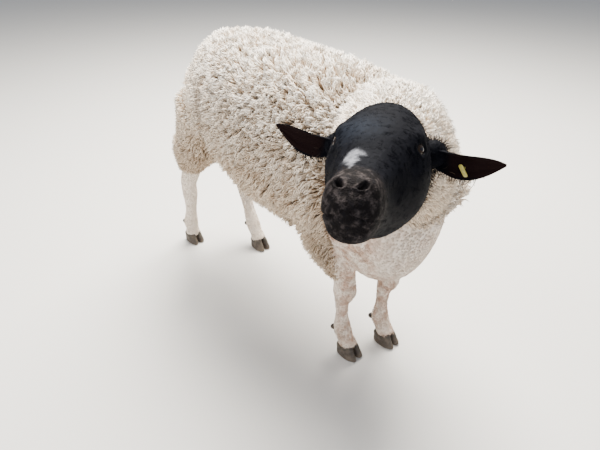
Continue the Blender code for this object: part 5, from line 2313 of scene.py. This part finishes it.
def tuft_tree() -> bpy.types.NodeTree:
    """Nodes that set short tufts of hair all over a skin, each laid along the coat.

    Returns:
        The tree, with its sizes as named inputs.
    """
    tree = bpy.data.node_groups.new("Short tufts", "GeometryNodeTree")
    kinds = {"Geometry": "Geometry", "Tuft": "Object", "Share": "String", "Spacing": "Float", "Seed": "Int"}
    for name, kind in {**kinds, "Finish": "Material"}.items():
        tree.interface.new_socket(name, in_out="INPUT", socket_type="NodeSocket" + kind)
    tree.interface.new_socket("Geometry", in_out="OUTPUT", socket_type="NodeSocketGeometry")
    nodes = Nodes(tree)
    given = nodes.make("NodeGroupInput").outputs

    def named(source: Socket | str, kind: str = "FLOAT") -> Socket:
        """What is stored on the skin under a name."""
        inputs = {"Name": source}
        return nodes.make("GeometryNodeInputNamedAttribute", {"data_type": kind}, inputs).outputs["Attribute"]

    def chosen(inputs: dict[str, object]) -> Socket:
        """A random number for each tuft."""
        return nodes.make("FunctionNodeRandomValue", {"data_type": "FLOAT"}, inputs).outputs["Value"]

    dense = nodes.math("DIVIDE", 3.0, nodes.times(given["Spacing"], given["Spacing"]))
    spread = nodes.make(
        "GeometryNodeDistributePointsOnFaces",
        {"distribute_method": "POISSON"},
        {
            "Mesh": given["Geometry"],
            "Distance Min": given["Spacing"],
            "Density Max": dense,
            "Density Factor": named(given["Share"]),
            "Seed": given["Seed"],
        },
    )
    place = nodes.make("GeometryNodeInputPosition").outputs[0]
    chance = chosen({"Seed": given["Seed"]})
    stored = spread.outputs["Points"]
    for name, kind, value in (("root", "FLOAT_VECTOR", place), ("chance", "FLOAT", chance)):
        settings = {"data_type": kind, "domain": "POINT"}
        wanted = {"Geometry": stored, "Name": name, "Value": value}
        stored = nodes.make("GeometryNodeStoreNamedAttribute", settings, wanted).outputs["Geometry"]
    align = "FunctionNodeAlignRotationToVector"
    upright = nodes.make(align, {"axis": "Z"}, {"Vector": spread.outputs["Normal"]}).outputs[0]
    inputs = {"Rotation": upright, "Vector": named("lie", "FLOAT_VECTOR")}
    laid = nodes.make(align, {"axis": "X", "pivot_axis": "Z"}, inputs).outputs[0]
    twist = nodes.vector(0.0, 0.0, chosen({"Min": -0.35, "Max": 0.35, "Seed": 3}))
    by = nodes.make("FunctionNodeEulerToRotation", {}, {0: twist}).outputs[0]
    inputs = {"Rotation": laid, "Rotate By": by}
    aimed = nodes.make("FunctionNodeRotateRotation", {"rotation_space": "LOCAL"}, inputs).outputs[0]
    scale = nodes.times(chosen({"Min": 0.70, "Max": 1.25, "Seed": 4}), named("size"))
    tuft = nodes.make("GeometryNodeObjectInfo", {}, {"Object": given["Tuft"]}).outputs["Geometry"]
    inputs = {"Points": stored, "Instance": tuft, "Rotation": aimed, "Scale": scale}
    planted = nodes.make("GeometryNodeInstanceOnPoints", {}, inputs)
    real = nodes.make("GeometryNodeRealizeInstances", {}, {"Geometry": planted.outputs[0]})
    inputs = {"Geometry": real.outputs[0], "Material": given["Finish"]}
    done = nodes.make("GeometryNodeSetMaterial", {}, inputs)
    nodes.make("NodeGroupOutput", {}, {"Geometry": done.outputs[0]})
    return tree


@dataclass
class ShortHair:
    """Short flat hair in small tufts over the legs and chest, or over the head and ears."""

    name: str
    share: str
    length: float
    spacing: float
    seed: int
    blade: float = 0.00058
    rise: float = 0.15
    # Each blade's place across the tuft, its turn and its share of the length.
    blades: tuple[Triple, ...] = ((-0.0013, -0.20, 0.9), (0.0002, 0.04, 1.05), (0.0015, 0.22, 0.85))
    patch: float = 0.003
    map: CoatMap = field(default_factory=CoatMap)

    def tuft(self) -> Object:
        """Three thin blades that lie along +X and lift at their tips.

        Returns:
            The object.
        """
        points, quads, tris, tone, across = [], [], [], [], []
        for number, (start, turn, reach) in enumerate(self.blades):
            along = np.array((math.cos(turn), math.sin(turn), 0.0))
            side, first = np.array((-along[1], along[0], 0.0)), number * 7
            for share, thick in ((0.0, 0.9), (0.55, 1.0)):
                lift = self.rise * self.length * share * (1 - 0.35 * share)
                middle = along * self.length * reach * share + (0, start, lift + 0.0001)
                for third, angle in enumerate((math.pi / 2, math.pi * 7 / 6, math.pi * 11 / 6)):
                    out = side * math.cos(angle) + np.array((0, 0, math.sin(angle)))
                    points.append(middle + out * self.blade * thick)
                    tone.append(share)
                    across.append((number + third / 3) / 3)
            points.append(along * self.length * reach + (0, start, self.rise * self.length * 0.65))
            tone.append(1.0)
            across.append((number + 0.5) / 3)
            for j in range(3):
                k = (j + 1) % 3
                quads.append((first + j, first + k, first + 3 + k, first + 3 + j))
                tris.append((first + 3 + j, first + 3 + k, first + 6))
            tris.append((first + 2, first + 1, first))
        made = new_object(self.name + "_tuft", np.array(points), np.array(quads), np.array(tris))
        face_out(made)
        put_values(made, "tone", np.array(tone))
        put_values(made, "around", np.array(across))
        return made

    def build(self, skin: Object, tree: bpy.types.NodeTree, material: bpy.types.Material) -> Object:
        """Sets the tufts on the skin.

        Args:
            skin: the skin, with its growth stored on it.
            tree: the nodes that set the tufts.
            material: the hair's finish.

        Returns:
            The tufts as one plain mesh.
        """
        tuft = self.tuft()
        made = linked(self.name, skin.data.copy())
        grow = made.modifiers.new("Tufts", "NODES")
        grow.node_group = tree
        wanted = {"Tuft": tuft, "Share": self.share, "Spacing": self.spacing}
        wanted |= {"Seed": self.seed, "Finish": material}
        for item in tree.interface.items_tree:
            if item.in_out == "INPUT" and item.name in wanted:
                grow[item.identifier] = wanted[item.name]
        bake_modifiers(made)
        bpy.data.objects.remove(tuft, do_unlink=True)
        roots, tone = get_values(made, "root", 3), get_values(made, "tone")
        _, uv, _ = self.map.read(roots.astype(float))
        put_bake_map(made, uv + np.stack([get_values(made, "around") - 0.5, tone - 0.5], -1) * self.patch)
        for name in ("root", "size", "lie", "wool", "inner", "hair_place", "black_share", "white_share"):
            made.data.attributes.remove(made.data.attributes[name])
        return made


@dataclass(frozen=True)
class Lamp:
    """A soft square light: its name, place, width, power and colour, and what it points at."""

    name: str
    place: Triple
    size: float
    power: float
    tint: Colour
    aim: Triple = (0.0, 0.0, 0.4)

    def build(self) -> None:
        """Hangs the light."""
        lamp = bpy.data.lights.new(self.name, "AREA")
        lamp.size, lamp.energy, lamp.color = self.size, self.power, self.tint
        made = linked(self.name, lamp)
        made.location = self.place
        made.rotation_euler = (Vector(self.aim) - Vector(self.place)).to_track_quat("-Z", "Y").to_euler()


@dataclass
class Stage:
    """The floor, the lights and the camera at the photo's viewing angle."""

    place: Triple = (-0.6050, -0.7624, 0.988)
    yaw: float = math.radians(42.5)
    pitch: float = math.radians(34.0)
    lens: float = 30.0
    sensor: float = 36.0
    floor: float = 14.0
    sky: Colour = (0.86, 0.91, 1.0)
    sky_power: float = 0.56
    lamps: tuple[Lamp, ...] = (
        Lamp("key", (1.0, 0.7, 2.6), 1.8, 520.0, (1.0, 0.95, 0.86)),
        Lamp("fill", (-2.2, -2.4, 1.6), 2.4, 32.0, (0.97, 0.97, 1.0)),
        Lamp("side", (-1.8, 0.6, 2.0), 1.4, 46.0, (1.0, 0.96, 0.90)),
    )

    def camera(self) -> None:
        """Sets up the camera."""
        made = linked("camera", bpy.data.cameras.new("camera"))
        made.data.lens, made.data.sensor_width = self.lens, self.sensor
        made.location = self.place
        made.rotation_euler = (math.pi / 2 - self.pitch, 0.0, -self.yaw)
        bpy.context.scene.camera = made

    def build(self, material: bpy.types.Material) -> None:
        """Sets the stage.

        Args:
            material: the floor's finish.
        """
        square = np.array(((-1, -1, 0), (1, -1, 0), (1, 1, 0), (-1, 1, 0)))
        floor = new_object("floor", square * self.floor / 2, np.array(((0, 1, 2, 3),)), None)
        floor.data.materials.append(material)
        self.camera()
        for lamp in self.lamps:
            lamp.build()
        world = bpy.data.worlds.new("studio")
        world.use_nodes = True
        sky = world.node_tree.nodes["Background"]
        sky.inputs["Color"].default_value = (*self.sky, 1.0)
        sky.inputs["Strength"].default_value = self.sky_power
        bpy.context.scene.world = world


def main() -> None:
    """Builds the sheep piece by piece, dresses it and sets the stage."""
    logging.basicConfig(level=logging.INFO, format="%(name)s %(message)s")
    shared = {"strands": strands_group(), "dust": dust_group()}
    kinds = (WoolFinish, WhiteHairFinish, BlackHairFinish, HornFinish)
    wool, white, black, horn = (kind(**shared).build() for kind in kinds)

    skin = Skin().build()
    for piece in Fleece(skin).build():
        put_piece(piece, Slot.FLEECE, wool, "torso", "neck", "tail")
    put_piece(Fringe(skin).build(), Slot.BLACK, black)
    tree = tuft_tree()
    legs = ShortHair("hair_white", "white_share", 0.0090, 0.0058, 3).build(skin, tree, white)
    put_piece(legs, Slot.WHITE, white)
    head = ShortHair("hair_black", "black_share", 0.0046, 0.0030, 4, 0.00026, 0.06).build(skin, tree, black)
    put_piece(head, Slot.BLACK, black)
    flesh = ["torso", "neck", "tail", "head", "ear_left", "ear_right", *("leg_" + leg for leg in LEG_LINES)]
    put_piece(skin, Slot.WHITE, HideFinish(**shared).build(), *flesh)

    eye = EyeFinish(**shared).build()
    for side in Side:
        made = Eye(side)
        put_piece(made.ball(), Slot.EYE, eye, "eye_" + made.name)
        put_piece(made.lids(), Slot.BLACK, black)
    for leg in LEG_LINES:
        put_piece(Hoof(leg).build(), Slot.HORN, horn, "hoof_" + leg)
    put_piece(Tag().build(), Slot.TAG, TagFinish(**shared).build(), "ear_tag")

    Stage().build(FloorFinish(**shared).build())


if __name__ == "__main__":
    main()
